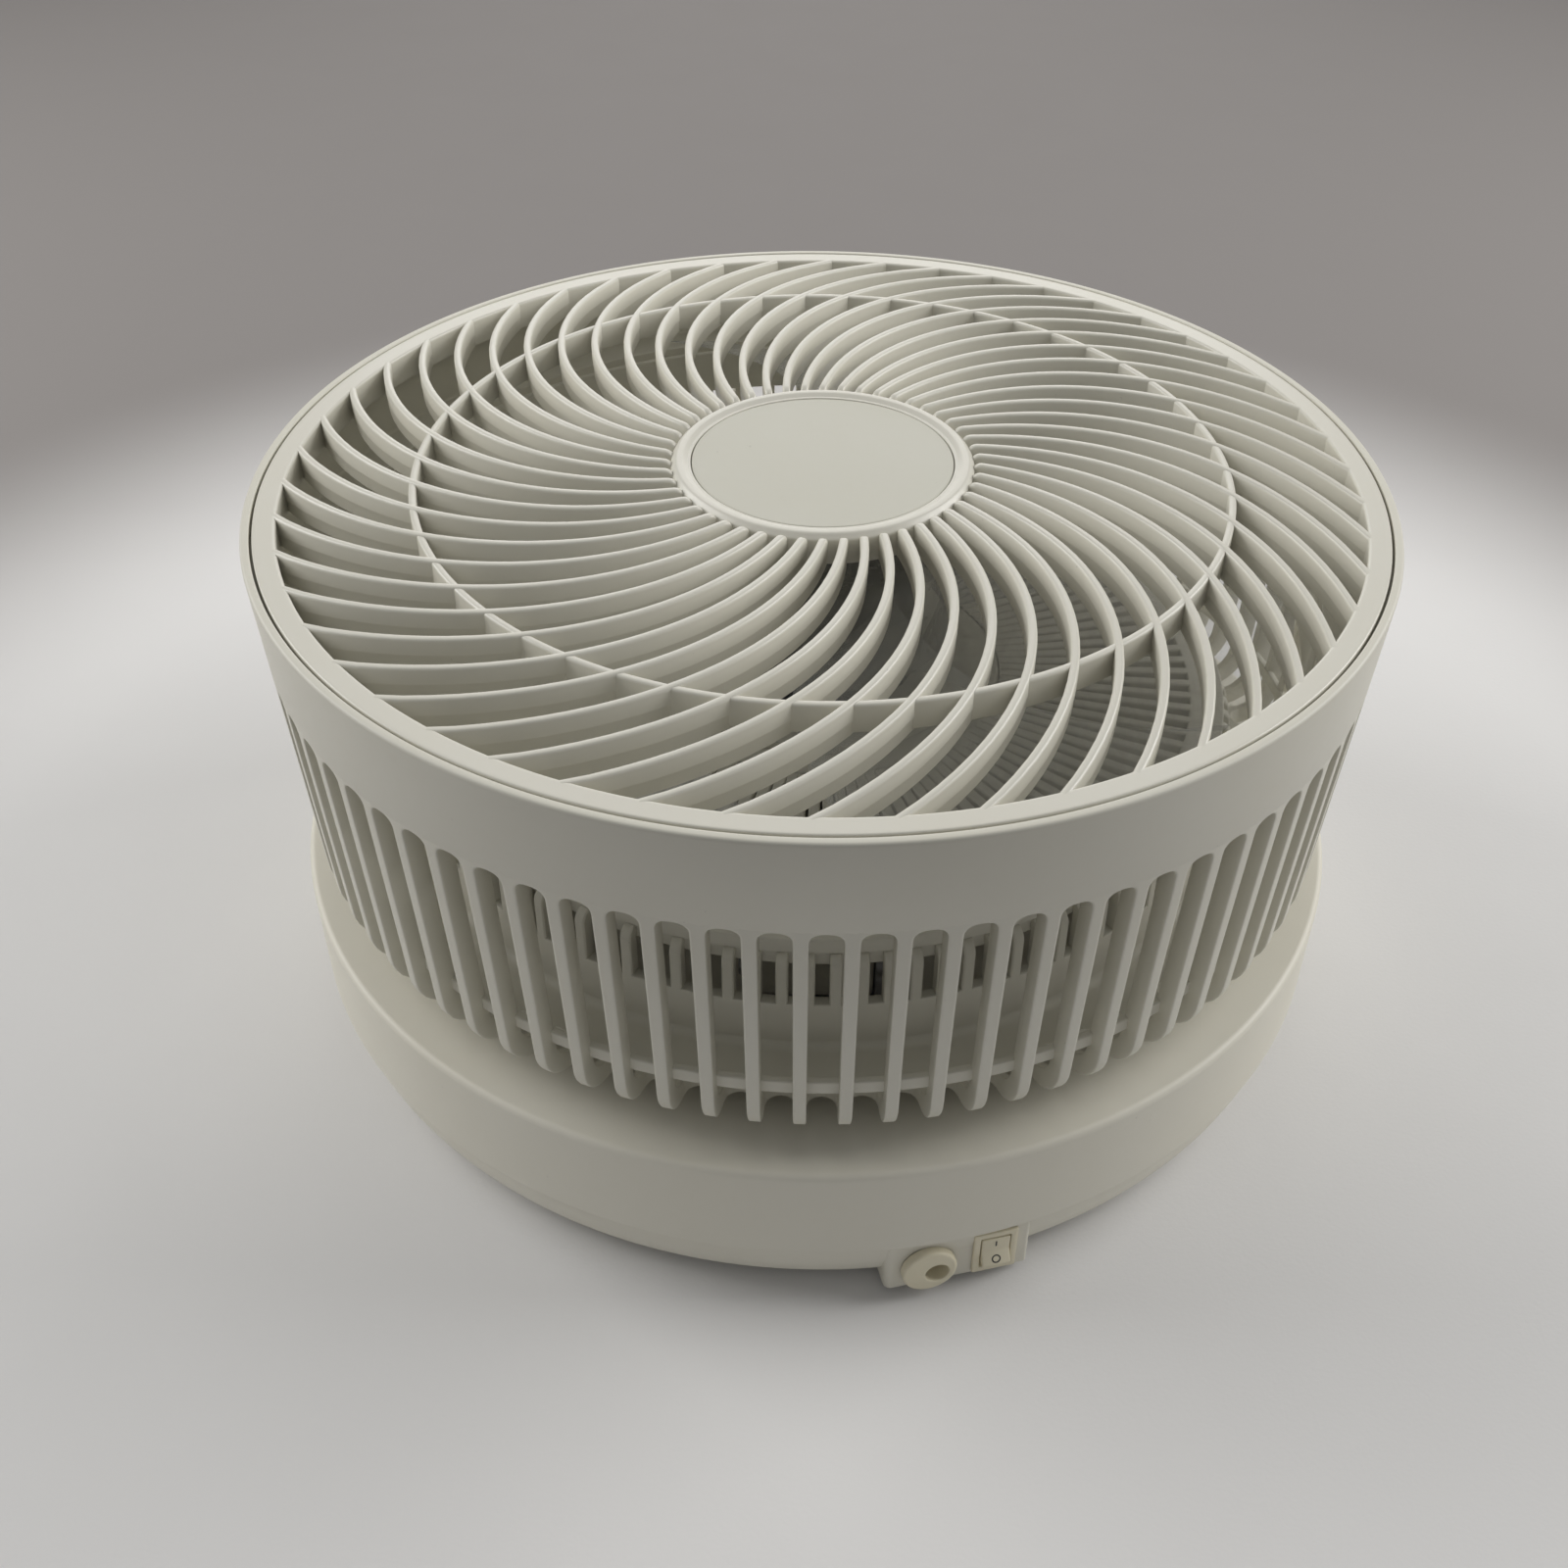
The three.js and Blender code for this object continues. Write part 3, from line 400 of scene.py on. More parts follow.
class Wire:
    """A socket in a finish. Its operators add Math nodes, so a sum of wires reads as a formula."""

    def __init__(self, finish, socket):
        self.finish = finish
        self.socket = socket

    def math(self, operation, *terms):
        return self.finish.node("ShaderNodeMath", {"operation": operation}, *terms)

    def __add__(self, other):
        return self.math("ADD", self, other)

    def __sub__(self, other):
        return self.math("SUBTRACT", self, other)

    def __mul__(self, other):
        return self.math("MULTIPLY", self, other)

    def __rsub__(self, other):
        return self.math("SUBTRACT", other, self)

    __radd__, __rmul__ = __add__, __mul__


class Finish:
    """A material whose nodes are added one at a time, in millimetres of the object's own space."""

    def __init__(self, name):
        self.material = bpy.data.materials.new(name)
        self.material.use_nodes = True
        self.tree = self.material.node_tree
        self.shader = self.tree.nodes["Principled BSDF"]
        self.place = self.node("ShaderNodeVectorMath", {"operation": "SCALE"},
                               self.node("ShaderNodeTexCoord", output="Object"), Scale=1 / MM)

    def node(self, kind, settings=None, *values, output=0, **named):
        """One output of a new node, with its first inputs given in order and others by name."""
        made = self.tree.nodes.new(kind)
        for key, value in (settings or {}).items():
            setattr(made, key, value)
        for key, value in list(enumerate(values)) + list(named.items()):
            self.link(value, made.inputs[key])
        return Wire(self, made.outputs[output])

    def link(self, value, socket):
        if isinstance(value, Wire):
            self.tree.links.new(value.socket, socket)
        else:
            socket.default_value = value

    def noise(self, size, detail=2, roughness=0.5, stretch=(1, 1, 1)):
        """Noise from 0 to 1 whose lumps are about size millimetres across."""
        spot = self.node("ShaderNodeVectorMath", {"operation": "MULTIPLY"}, self.place, stretch)
        return self.node("ShaderNodeTexNoise", None, output="Fac", Vector=spot, Scale=1 / size,
                         Detail=detail, Roughness=roughness)

    def between(self, value, low, high, **settings):
        """0 below low, 1 above high, and straight between."""
        return self.node("ShaderNodeMapRange", settings, value, low, high, 0.0, 1.0)

    def mix(self, share, first, second):
        """A colour mixed from two. The node's inputs 6 and 7 and its output 2 are the ones for colours."""
        mixed = self.node("ShaderNodeMix", {"data_type": "RGBA"}, share, output=2)
        self.link(first, mixed.socket.node.inputs[6])
        self.link(second, mixed.socket.node.inputs[7])
        return mixed

    def done(self, colour, roughness, height=None, depth=0.0, **others):
        """Feeds the shader. height is a wire from 0 to 1, and depth what 1 stands for in millimetres."""
        for key, value in {"Base Color": colour, "Roughness": roughness, **others}.items():
            self.link(value, self.shader.inputs[key.replace("_", " ")])
        if height is not None:
            bump = self.node("ShaderNodeBump", None, output="Normal", Strength=1.0,
                             Distance=depth * MM, Height=height)
            self.link(bump, self.shader.inputs["Normal"])
        return self.material


def paint(red, green, blue):
    """A colour given as it looks, 0 to 255, in the linear values that the shader takes."""
    share = np.array([red, green, blue]) / 255
    linear = np.where(share <= 0.04045, share / 12.92, ((share + 0.055) / 1.055) ** 2.4)
    return (*linear.tolist(), 1.0)


def scaled(colour, share):
    """A linear colour with its channels multiplied by one share, or by one each."""
    return (*(np.array(colour[:3]) * share).tolist(), 1.0)


def moulded(name, colour, gloss, grain=0.5, grain_depth=0.012, scuffs=0.25, coat=0.0):
    """Injection-moulded plastic: a fine spark-eroded grain, slow swells of its colour and gloss,
    a few dark specks, and hair scratches drawn out along one direction and another."""
    f = Finish(name)
    swell = f.noise(38, 2)
    mottle = f.noise(3.2, 3, 0.6)
    speck = f.between(f.noise(2.1, 4, 0.62), 0.735, 0.76)
    scratch_a = f.between(f.noise(1.6, 3, 0.55, (0.06, 1.0, 1.0)), 0.70, 0.72)
    scratch_b = f.between(f.noise(1.4, 3, 0.55, (1.0, 0.05, 0.8)), 0.71, 0.73)
    scratch = (scratch_a + scratch_b) * scuffs
    base = paint(*colour)
    tone = f.mix(swell * 0.6 + mottle * 0.25, base, scaled(base, (0.955, 0.94, 0.90)))
    tone = f.mix(speck * 0.5, tone, scaled(base, 0.45))
    height = f.noise(grain, 3, 0.6) + f.noise(5.5, 1) * 1.5 - scratch * 0.8
    rough = gloss + swell * 0.06 + mottle * 0.05 + scratch * 0.2
    return f.done(tone, rough, height, grain_depth, Coat_Weight=coat, Coat_Roughness=0.2)


def clear_plastic():
    """Clear styrene: almost colourless, greyer and more opaque where it is seen edge on, a painted
    reflection, with flow lines and a film of dust that makes it less clear in patches."""
    f = Finish("clear plastic")
    dust = f.between(f.noise(7, 4, 0.7), 0.4, 0.9)
    # Painted reflection: the part grows more opaque, and so greyer, where it is seen edge on
    edge_on_reflection = f.node("ShaderNodeLayerWeight", None, 0.35, output="Facing")
    tone = f.mix(dust, paint(196, 197, 194), paint(206, 204, 196))
    flow = f.noise(9, 2, 0.5, (0.35, 1, 1))
    return f.done(tone, 0.1 + dust * 0.2, flow, 0.05, Alpha=edge_on_reflection * 0.4 + dust * 0.16 + 0.2, IOR=1.59)


def brushed_metal(name, colour, gloss, along, fine=0.25):
    """Drawn or turned metal: streaks stretched along one direction, with dull patches of handling."""
    f = Finish(name)
    stretch = tuple(0.02 if axis == along else 1.0 for axis in "XYZ")
    streak = f.noise(fine, 3, 0.6, stretch)
    patch = f.between(f.noise(16, 3, 0.6), 0.4, 0.75)
    base = paint(*colour)
    tone = f.mix(streak * 0.5 + patch * 0.3, base, scaled(base, 0.8))
    return f.done(tone, gloss + streak * 0.12 + patch * 0.1, streak, 0.006, Metallic=1.0)


def rubber():
    """Moulded rubber: a matt skin with a coarse grain, paler where it has rubbed on the floor."""
    f = Finish("rubber")
    rub = f.between(f.noise(5, 3, 0.65), 0.5, 0.8)
    tone = f.mix(rub, paint(58, 58, 58), paint(88, 87, 84))
    return f.done(tone, 0.78 + rub * 0.12, f.noise(0.7, 3, 0.6), 0.05)


def circuit_board():
    """Green solder mask over copper tracks: straight stripes of two widths under a thin gloss."""
    f = Finish("circuit board")
    track = f.node("ShaderNodeTexWave", {"bands_direction": "X"}, output="Fac", Vector=f.place,
                   Scale=0.16, Distortion=2.0, Detail=0)
    lines = f.between(track, 0.55, 0.62)
    tone = f.mix(lines, paint(28, 84, 48), paint(46, 118, 66))
    return f.done(tone, 0.3 + f.noise(3) * 0.1, lines, 0.04)


def cell_wrap():
    """Shrink film on a battery cell: glossy, with wrinkles drawn out along the cell."""
    f = Finish("cell wrap")
    wrinkle = f.noise(2.2, 3, 0.6, (1, 0.12, 1))
    tone = f.mix(f.between(wrinkle, 0.3, 0.8), paint(46, 84, 138), paint(62, 102, 158))
    return f.done(tone, 0.22 + wrinkle * 0.12, wrinkle, 0.08)


def winding():
    """Enamelled copper wire wound round the poles: its turns as a fine wave up the height, in bumps and in
    painted shade between the turns and painted light on their crests.
    """
    f = Finish("copper winding")
    wires = f.node("ShaderNodeTexWave", {"bands_direction": "Z", "wave_profile": "SIN"}, output="Fac",
                   Vector=f.place, Scale=0.314, Distortion=0.3, Detail=1)
    # Painted shade and light: the wave darkens the copper between the turns and brightens it on their crests
    tone = f.mix(wires, paint(96, 44, 24), paint(190, 104, 58))
    return f.done(tone, 0.3 + f.noise(2) * 0.1, wires, 0.2, Metallic=0.7)


def ink():
    """Pad-printed ink: almost black, a little uneven."""
    f = Finish("printed marks")
    return f.done(f.mix(f.noise(0.6), paint(22, 22, 24), paint(48, 48, 50)), 0.45 + f.noise(0.8) * 0.1)


FINISHES = {
    "white_plastic": moulded("drum plastic", (217, 215, 204), 0.40),
    "grille_plastic": moulded("grille plastic", (219, 217, 207), 0.27, 0.8, 0.008, 0.15, 0.1),
    # Painted shade: the cap's plastic is set darker than the drum's to offset the stronger light on the cap's
    # top
    "cap_plastic": moulded("cap plastic", (203, 202, 191), 0.46, 0.6, 0.014, 0.3),
    "base_plastic": moulded("base plastic", (221, 218, 206), 0.42),
    "cream_plastic": moulded("cream plastic", (224, 217, 193), 0.34, 0.4, 0.008, 0.1),
    "button_plastic": moulded("button plastic", (214, 213, 206), 0.33, 0.4, 0.006, 0.3),
    "slippery_plastic": moulded("glide plastic", (231, 229, 219), 0.28, 0.5, 0.008, 0.5),
    "dark_plastic": moulded("dark plastic", (44, 46, 52), 0.45, 0.5, 0.015, 0.4),
    "clear_plastic": clear_plastic(),
    "rubber_feet": rubber(),
    "circuit_board": circuit_board(),
    "cell_wrap": cell_wrap(),
    "pole_tube": brushed_metal("anodised tube", (198, 200, 202), 0.26, "Y"),
    "steel": brushed_metal("zinc-plated steel", (176, 178, 182), 0.30, "X", 0.4),
    "motor_case": brushed_metal("motor case", (92, 94, 98), 0.38, "Z", 0.5),
    "motor_winding": winding(),
    "ink": ink(),
}


# Fan head: the slatted drum

def drum_outer(z):
    """Outside radius of the drum's tapering wall at a height."""
    return HEAD_RADIUS - WALL_TAPER * (HEAD_TOP - z)


def from_slot(azimuth, lateral, radius, z):
    """Points at a radius, so far sideways from a slot's middle plane: out sqrt(radius^2 - lateral^2)
    along the plane and lateral across it."""
    return polar(np.sqrt(radius ** 2 - lateral ** 2), azimuth, z) + polar(lateral, azimuth + 90, 0)


def slat():
    """One slat with half of the arches on either side of it, between two slots a pitch apart.

    Rows follow the slat: out from the foot ring, round the lower corner, up the wall, and into the
    slot's crown. At the foot ring a point at angle b lies h sin b beside the slot's middle and h cos b
    short of the arch's centre. At the crown it lies h cos^0.8 a beside the middle and rise sin^0.8 a
    above the centre, a superellipse. Columns go round the section, each an even depth in from the outer
    face: h grows by the edge's rounding towards that face, and four points across it lie on the drum's
    own circle."""
    pitch = 360 / SLOT_COUNT
    foot = np.radians([0, 20, 40, 60, 90])
    crown = np.radians([0, 12, 26, 42, 58, 74, 90])
    centre = SLOT_CROWN - SLOT_RISE
    corner_z = DRUM_BOTTOM + SLAT_CORNER
    corner_r = drum_outer(corner_z) - SLAT_CORNER
    bend = np.radians(np.linspace(-80, 0, 8))
    wall = np.linspace(corner_z, centre, 4)[1:-1]
    arch_r = FOOT_RING[1] + SLOT_HALF
    buried = 1.5  # how far the foot runs into its ring
    # Each column: (growth of h, depth below the outer face)
    columns = [(0.35, SLAT_DEPTH), (0.0, SLAT_DEPTH - 0.6), (0.0, SLOT_EDGE + 0.35), (0.0, SLOT_EDGE),
               (EDGE_HALFWAY, EDGE_HALFWAY), (SLOT_EDGE, 0.0), (SLOT_EDGE + 0.3, 0.0)]
    left, right = [], []
    for growth, inset in columns:
        h, turn = SLOT_HALF + growth, SLAT_CORNER - inset
        z_crown = centre + (SLOT_RISE + growth) * np.sin(crown) ** CROWN_POWER
        radius = np.r_[FOOT_RING[1] - buried, arch_r - h * np.cos(foot), corner_r + turn * np.cos(bend),
                       drum_outer(wall) - inset, drum_outer(z_crown) - inset]
        z = np.r_[np.full(1 + len(foot), DRUM_BOTTOM + inset), corner_z + turn * np.sin(bend), wall, z_crown]
        lateral = np.r_[0, h * np.sin(foot), np.full(len(bend) + len(wall), h),
                        h * np.cos(crown).clip(0) ** CROWN_POWER]
        left.append(from_slot(-pitch / 2, lateral, radius, z))
        right.append(from_slot(pitch / 2, -lateral, radius, z))
    x, y, z = left[-1].T
    start, end = (np.degrees(np.arctan2(edge[:, 0], -edge[:, 1])) for edge in (left[-1], right[-1]))
    middle = [polar(np.hypot(x, y), start + (end - start) * s, z) for s in (0.33, 0.67)]
    return solid(np.stack(left + middle + right[::-1], 1))


def drum():
    """The band and the lip over the slats, the ring at their foot, and the thin ring that ties them."""
    crown, outer = SLOT_CROWN, drum_outer(SLOT_CROWN)
    edge, flange = crown + SLOT_EDGE, crown + FLANGE_WALL
    band = rounded([
        (LIP_INNER, LIP_BOTTOM, 0.2), (LIP_INNER, HEAD_TOP, 0.35), (HEAD_RADIUS, HEAD_TOP, 0.9),
        (drum_outer(edge), edge, 0), (outer - EDGE_HALFWAY, crown + EDGE_HALFWAY, 0),
        (outer - SLOT_EDGE, crown, 0), (outer - FLANGE_REACH, crown, 0.3),
        (outer - FLANGE_REACH, flange, 0.3), (BAND_INNER, flange, 0.8), (BAND_INNER, LIP_BOTTOM, 0.3)])
    # The foot ring lies a hair inside the slats' ends, and its cove runs up into the guard's wall
    hair = 0.04
    (inner, foot_outer), low, top = FOOT_RING, DRUM_BOTTOM + hair, DRUM_BOTTOM + SLAT_DEPTH - hair
    cove_inner, cove_top = inner + 0.2, top + FOOT_COVE + 0.6
    foot = rounded([(inner, low, 0.6), (foot_outer, low, 0.4), (foot_outer, top, 0.3),
                    (cove_inner, top, FOOT_COVE), (cove_inner, cove_top, 0), (inner, cove_top, 0)], steps=6)
    tie = section(*TIE_RING, 0.4, 0.4, 0.5, 0.5)
    return together(turned(band, 4 * SLOT_COUNT), turned(foot, 168), turned(tie, 168),
                    repeated(slat(), SLOT_COUNT, FIRST_SLOT + 180 / SLOT_COUNT))


def skirt():
    """The visible end of the air guide, just inside the flange, with the drum's own taper."""
    bottom, top, wall = SKIRT
    low, high = (drum_outer(z) - FLANGE_REACH - SKIRT_GAP for z in (bottom, top))
    return turned(rounded([
        (low, bottom, 0.6), (high, top, 0.3), (high - wall, top, 0.3), (low - wall, bottom, 0.6)]), 252)


piece("drum_shell", drum(), "head", "white_plastic", "drum_housing")
piece("inner_skirt", skirt(), "head", "white_plastic", "air_guide")


# Fan head: the front grille

def dome(r):
    """Height of the fins' tops: the rim's height plus a rise of 1 - (r / opening)^power."""
    return HEAD_TOP + DOME_RISE * (1 - np.minimum(1, r / OPENING_RADIUS) ** DOME_POWER)


def fin():
    """One curled fin. Its middle line is at azimuth -(sweep * t + curl * t |t|) degrees, where t goes
    from 0 at the hub to 1 at the opening. The section across it has a rounded top and a lower part
    that steps in a little, and its top drops round a quarter circle where it meets the hub."""
    nose = HUB_RADIUS + FIN_NOSE
    r = np.r_[np.linspace(HUB_RADIUS - FIN_BURIED, nose, 6),
              np.linspace(nose, OPENING_RADIUS + FIN_BURIED, 27)[1:]]
    t = (r - HUB_RADIUS) / (OPENING_RADIUS - HUB_RADIUS)
    line = polar(r, -(FIN_SWEEP * t + FIN_CURL * t * np.abs(t)), 0)
    tangent = unit(np.gradient(line, r, axis=0))
    side = points_of(-tangent[:, 1], tangent[:, 0], 0)
    drop = np.clip((nose - r) / (FIN_NOSE + 0.6), 0, 1)
    top = dome(r) - FIN_NOSE * (1 - np.sqrt(1 - drop ** 2))
    step = FIN_DEPTH * 0.58
    # One side of the section, up from its foot: (distance in from the fin's face, depth below the top)
    inset, deep = np.array([
        (FIN_STEP, FIN_DEPTH), (FIN_STEP, step + 0.3), (0, step - 0.15), (0, step - 0.5),
        (0, 1.0), (0.08, 0.55), (0.3, 0.2), (0.65, 0.03)]).T
    across, deep = np.r_[inset - FIN_HALF, FIN_HALF - inset[::-1]], np.r_[deep, deep[::-1]]
    points = line[:, None] + side[:, None] * across[:, None]
    points[:, :, 2] = np.where(deep > step, dome(r)[:, None], top[:, None]) - deep
    return solid(points)


def grille():
    """Rim, middle ring and hub as turned rings, and the fins between them."""
    under = HEAD_TOP - FIN_DEPTH
    step_r, step_z = RIM_STEP
    rim = rounded([(OPENING_RADIUS, HEAD_TOP, 0.7), (RIM_OUTER, HEAD_TOP, 0.5), (RIM_OUTER, step_z, 0.2),
                   (step_r, step_z, 0.3), (step_r, under, 0.3), (OPENING_RADIUS, under, 0.4)])
    top = dome(RING_RADIUS) - RING_DROP
    ring = section(RING_RADIUS - RING_HALF, RING_RADIUS + RING_HALF, top, top - RING_DEPTH,
                   0.7, 0.7, 0.3, 0.3)
    plate_low, plate_top = HUB_PLATE
    ledge, wall = CAP[1] + 0.1, HUB_RADIUS - HUB_WALL
    hub = rounded([
        (0, plate_top, 0), (HUB_INNER, plate_top, 0.2), (HUB_INNER, ledge, 0.25),
        (HUB_INNER + 0.9, ledge, 0.3), (HUB_INNER + 2.4, HUB_TOP, 1.4), (HUB_RADIUS - 1.6, HUB_TOP, 1.2),
        (HUB_RADIUS, HUB_TOP - 1.6, 1.0), (HUB_RADIUS, HUB_TOP - FIN_DEPTH, 0.4),
        (wall, HUB_TOP - FIN_DEPTH, 0.4), (wall, plate_low, 0.5), (0, plate_low, 0)])
    return together(turned(rim, 300), turned(ring, 250), turned(hub, 200),
                    repeated(fin(), FIN_COUNT, FIRST_FIN))


cap_low, cap_top = CAP
cap_out = HUB_INNER - CAP_GAP
cap_profile = rounded([(0, cap_top, 0), (cap_out, cap_top, 0.35), (cap_out, cap_low, 0), (0, cap_low, 0)])
piece("swirl_grille", grille(), "head", "white_plastic", "front_grille", finish="grille_plastic")
piece("hub_disc", turned(cap_profile, 160), "head", "white_plastic", "hub_cap", finish="cap_plastic")


# Fan head: the rear guard round the recess

def guard_bar(outer, inner):
    """One bar of constant width between two outlines of (radius, height), with the outer edges of its
    section cut by a small chamfer."""
    half, cut = GUARD_BAR / 2, 0.4
    lateral = np.array([-half, -half, cut - half, half - cut, half, half])
    share = np.array([1, cut / GUARD_WALL, 0, 0, cut / GUARD_WALL, 1])[:, None]
    r, z = (outer[:, None] + (inner - outer)[:, None] * share).transpose(2, 0, 1)
    return solid(points_of(lateral, -r, z))


def guard():
    """The plain wall under the slots, the ring over them with a step round its outside, the plate at the
    middle of the ceiling, and two sets of bars: up the wall and round into the ring, and from the ring
    to the plate."""
    ring_in, ring_out, step, ring_low = GUARD_RING
    inside, ceiling = GUARD_RADIUS - GUARD_WALL, GUARD_TOP - GUARD_WALL
    wall = section(GUARD_RADIUS, inside, GUARD_BOTTOM, GUARD_SLOT_BOTTOM, 0.6, 0.6, 0.4, 0.4)
    plate = section(GUARD_PLATE, GUARD_BORE, GUARD_TOP, ceiling, 0.5)
    hair = 0.02  # the ring's faces lie this far below the bars'
    top, low, back, skirt_out = GUARD_TOP - hair, ceiling - hair, inside - 3, ring_out - 0.8
    ring = rounded([(ring_out, step, 0.3), (ring_out, top, 0.5), (ring_in, top, 0.5), (ring_in, low, 0.4),
                    (back, low, 0.4), (back, ring_low, 0.4), (skirt_out, ring_low, 0.4),
                    (skirt_out, step, 0.2)])
    bend = np.radians(np.linspace(0, 90, 8))
    turn_r, turn_z = GUARD_RADIUS - GUARD_CORNER, step - GUARD_CORNER
    start, end = GUARD_SLOT_BOTTOM - 1, ring_out - 1.5
    round_it = points_of(turn_r + GUARD_CORNER * np.cos(bend), turn_z + GUARD_CORNER * np.sin(bend))
    shoulder = np.vstack([(GUARD_RADIUS, start), round_it, (end, step)])
    behind = np.vstack([(inside, start), points_of(inside, turn_z + 0.2 * np.sin(bend)),
                        (end - 0.5, step - 1)])
    across = np.array([(ring_in + 1, GUARD_TOP), (GUARD_PLATE - 1, GUARD_TOP)], float)
    bars = together(guard_bar(shoulder, behind), guard_bar(across, across - [0, GUARD_WALL]))
    return together(turned(wall, 224), turned(plate, 112), turned(ring, 224),
                    repeated(bars, GUARD_SLOTS, FIRST_SLOT + 180 / GUARD_SLOTS))


piece("rear_cage", guard(), "head", "white_plastic", "rear_guard")


# Impeller

def impeller_blade():
    """A twisted blade. With s from 0 at the hub to 1 at the tip, the pitch falls from 42 to 17 degrees,
    the middle line is swept by 22 s^2 degrees, and the section is an arc of camber 7 s over a chord of
    its height / sin(pitch), 2 mm thick in its middle and thin at both ends."""
    root, tip = BLADE_RADII
    share = np.linspace(0, 1, 19)[:, None]
    r = root + (tip - root) * share
    pitch = np.radians(42 - 25 * share)
    chord = BLADE_HEIGHT / np.sin(pitch)
    along = np.r_[np.linspace(-0.5, 0.5, 13), np.linspace(0.5, -0.5, 13)[1:-1]]
    face = np.r_[np.ones(13), -np.ones(11)]
    thick = 1 - (2 * along) ** 2 * 0.75
    crown = np.where(np.abs(along) == 0.5, 0, face * thick + 7 * share * (1 - 4 * along ** 2) / 2)
    run = along * chord * np.cos(pitch) - crown * np.sin(pitch)
    return solid(polar(r, 22 * share ** 2 + np.degrees(run / r),
                       BLADE_MIDDLE + along * BLADE_HEIGHT + crown * np.cos(pitch)))


def cup():
    """The impeller's hub: a bell round the motor, with a boss on the shaft."""
    low, top = CUP_HEIGHTS
    inner, ceiling = CUP_RADIUS - CUP_WALL, top - CUP_WALL
    profile = rounded([
        (BOSS_BORE, top, 0.3), (CUP_RADIUS, top, 4.5), (CUP_RADIUS, low, 0.6), (inner, low, 0.6),
        (inner, ceiling, 3.5), (BOSS_RADIUS, ceiling, 0.8), (BOSS_RADIUS, BOSS_BOTTOM, 0.4),
        (BOSS_BORE, BOSS_BOTTOM, 0.3)], steps=5)
    return turned(profile, 140)


piece("clear_impeller", together(cup(), repeated(impeller_blade(), BLADE_COUNT, FIRST_BLADE)),
      "impeller", "clear_plastic", "impeller")


# Base: cover and pan

def cover():
    """The upper shell: a wall, a top round a well for the turntable, and a bore at the middle."""
    seam, inner = SEAM + SEAM_GAP, BASE_RADIUS - COVER_WALL
    well_out, under, floor_under = WELL_RADIUS + COVER_WALL, BASE_TOP - COVER_WALL, WELL_FLOOR - COVER_WALL
    profile = rounded([
        (BASE_RADIUS - COVER_DRAFT, seam, 0.3), (BASE_RADIUS, BASE_TOP, 1.8), (WELL_RADIUS, BASE_TOP, 0.7),
        (WELL_RADIUS, WELL_FLOOR, 0.8), (COVER_BORE, WELL_FLOOR, 0.4), (COVER_BORE, floor_under, 0.2),
        (well_out, floor_under, 0.5), (well_out, under, 0.5), (inner, under, 0.8), (inner, seam, 0.3)],
        steps=4)
    return turned(profile, 300)


def pan():
    """The lower shell: its wall curves in to a flat underside along a quarter ellipse."""
    a = np.radians(np.linspace(0, 90, 9))
    outside, inside = (
        points_of(PAN_RIM - PAN_CORNER + (PAN_CORNER - wall) * np.cos(a),
                  SEAM - (SEAM - PAN_BOTTOM - wall) * np.sin(a)) for wall in (0, PAN_WALL))
    floor = PAN_BOTTOM + PAN_WALL
    flat = [(PAN_FLAT, PAN_BOTTOM), (0, PAN_BOTTOM), (0, floor), (PAN_FLAT, floor)]
    return turned(np.vstack([outside, flat, inside[::-1]]), 300)


def plate_with_opening(outer, inner):
    """A flat piece of the box's face between a rectangle and an opening: rays from the opening's middle
    give both outlines, and the face runs straight between them."""
    points = np.stack([inner + (outer - inner) * s for s in (0, 0.12, 1)], 0)
    return grid(points_of(points[..., 0], -BOX_FACE, points[..., 1]), around=True)


def on_rectangle(angles, middle, x0, x1, z0, z1):
    """Where rays from a point meet the rectangle round it: the nearer of the two sides ahead."""
    (x, z), c, s, tiny = middle, np.cos(angles), np.sin(angles), 1e-9
    reach_x = np.where(c > 0, x1 - x, x0 - x) / np.where(np.abs(c) < tiny, tiny, c)
    reach_z = np.where(s > 0, z1 - z, z0 - z) / np.where(np.abs(s) < tiny, tiny, s)
    reach = np.minimum(np.abs(reach_x), np.abs(reach_z))
    return points_of(x + c * reach, z + s * reach)


def ray_angles(middle, *rectangles):
    """48 even angles round a point, with the corners of every rectangle among them."""
    corners = [math.atan2(z - middle[1], x - middle[0]) % (2 * math.pi)
               for x0, x1, z0, z1 in rectangles for x in (x0, x1) for z in (z0, z1)]
    return np.unique(np.round(np.r_[np.linspace(0, 2 * math.pi, 48, False), corners], 6))


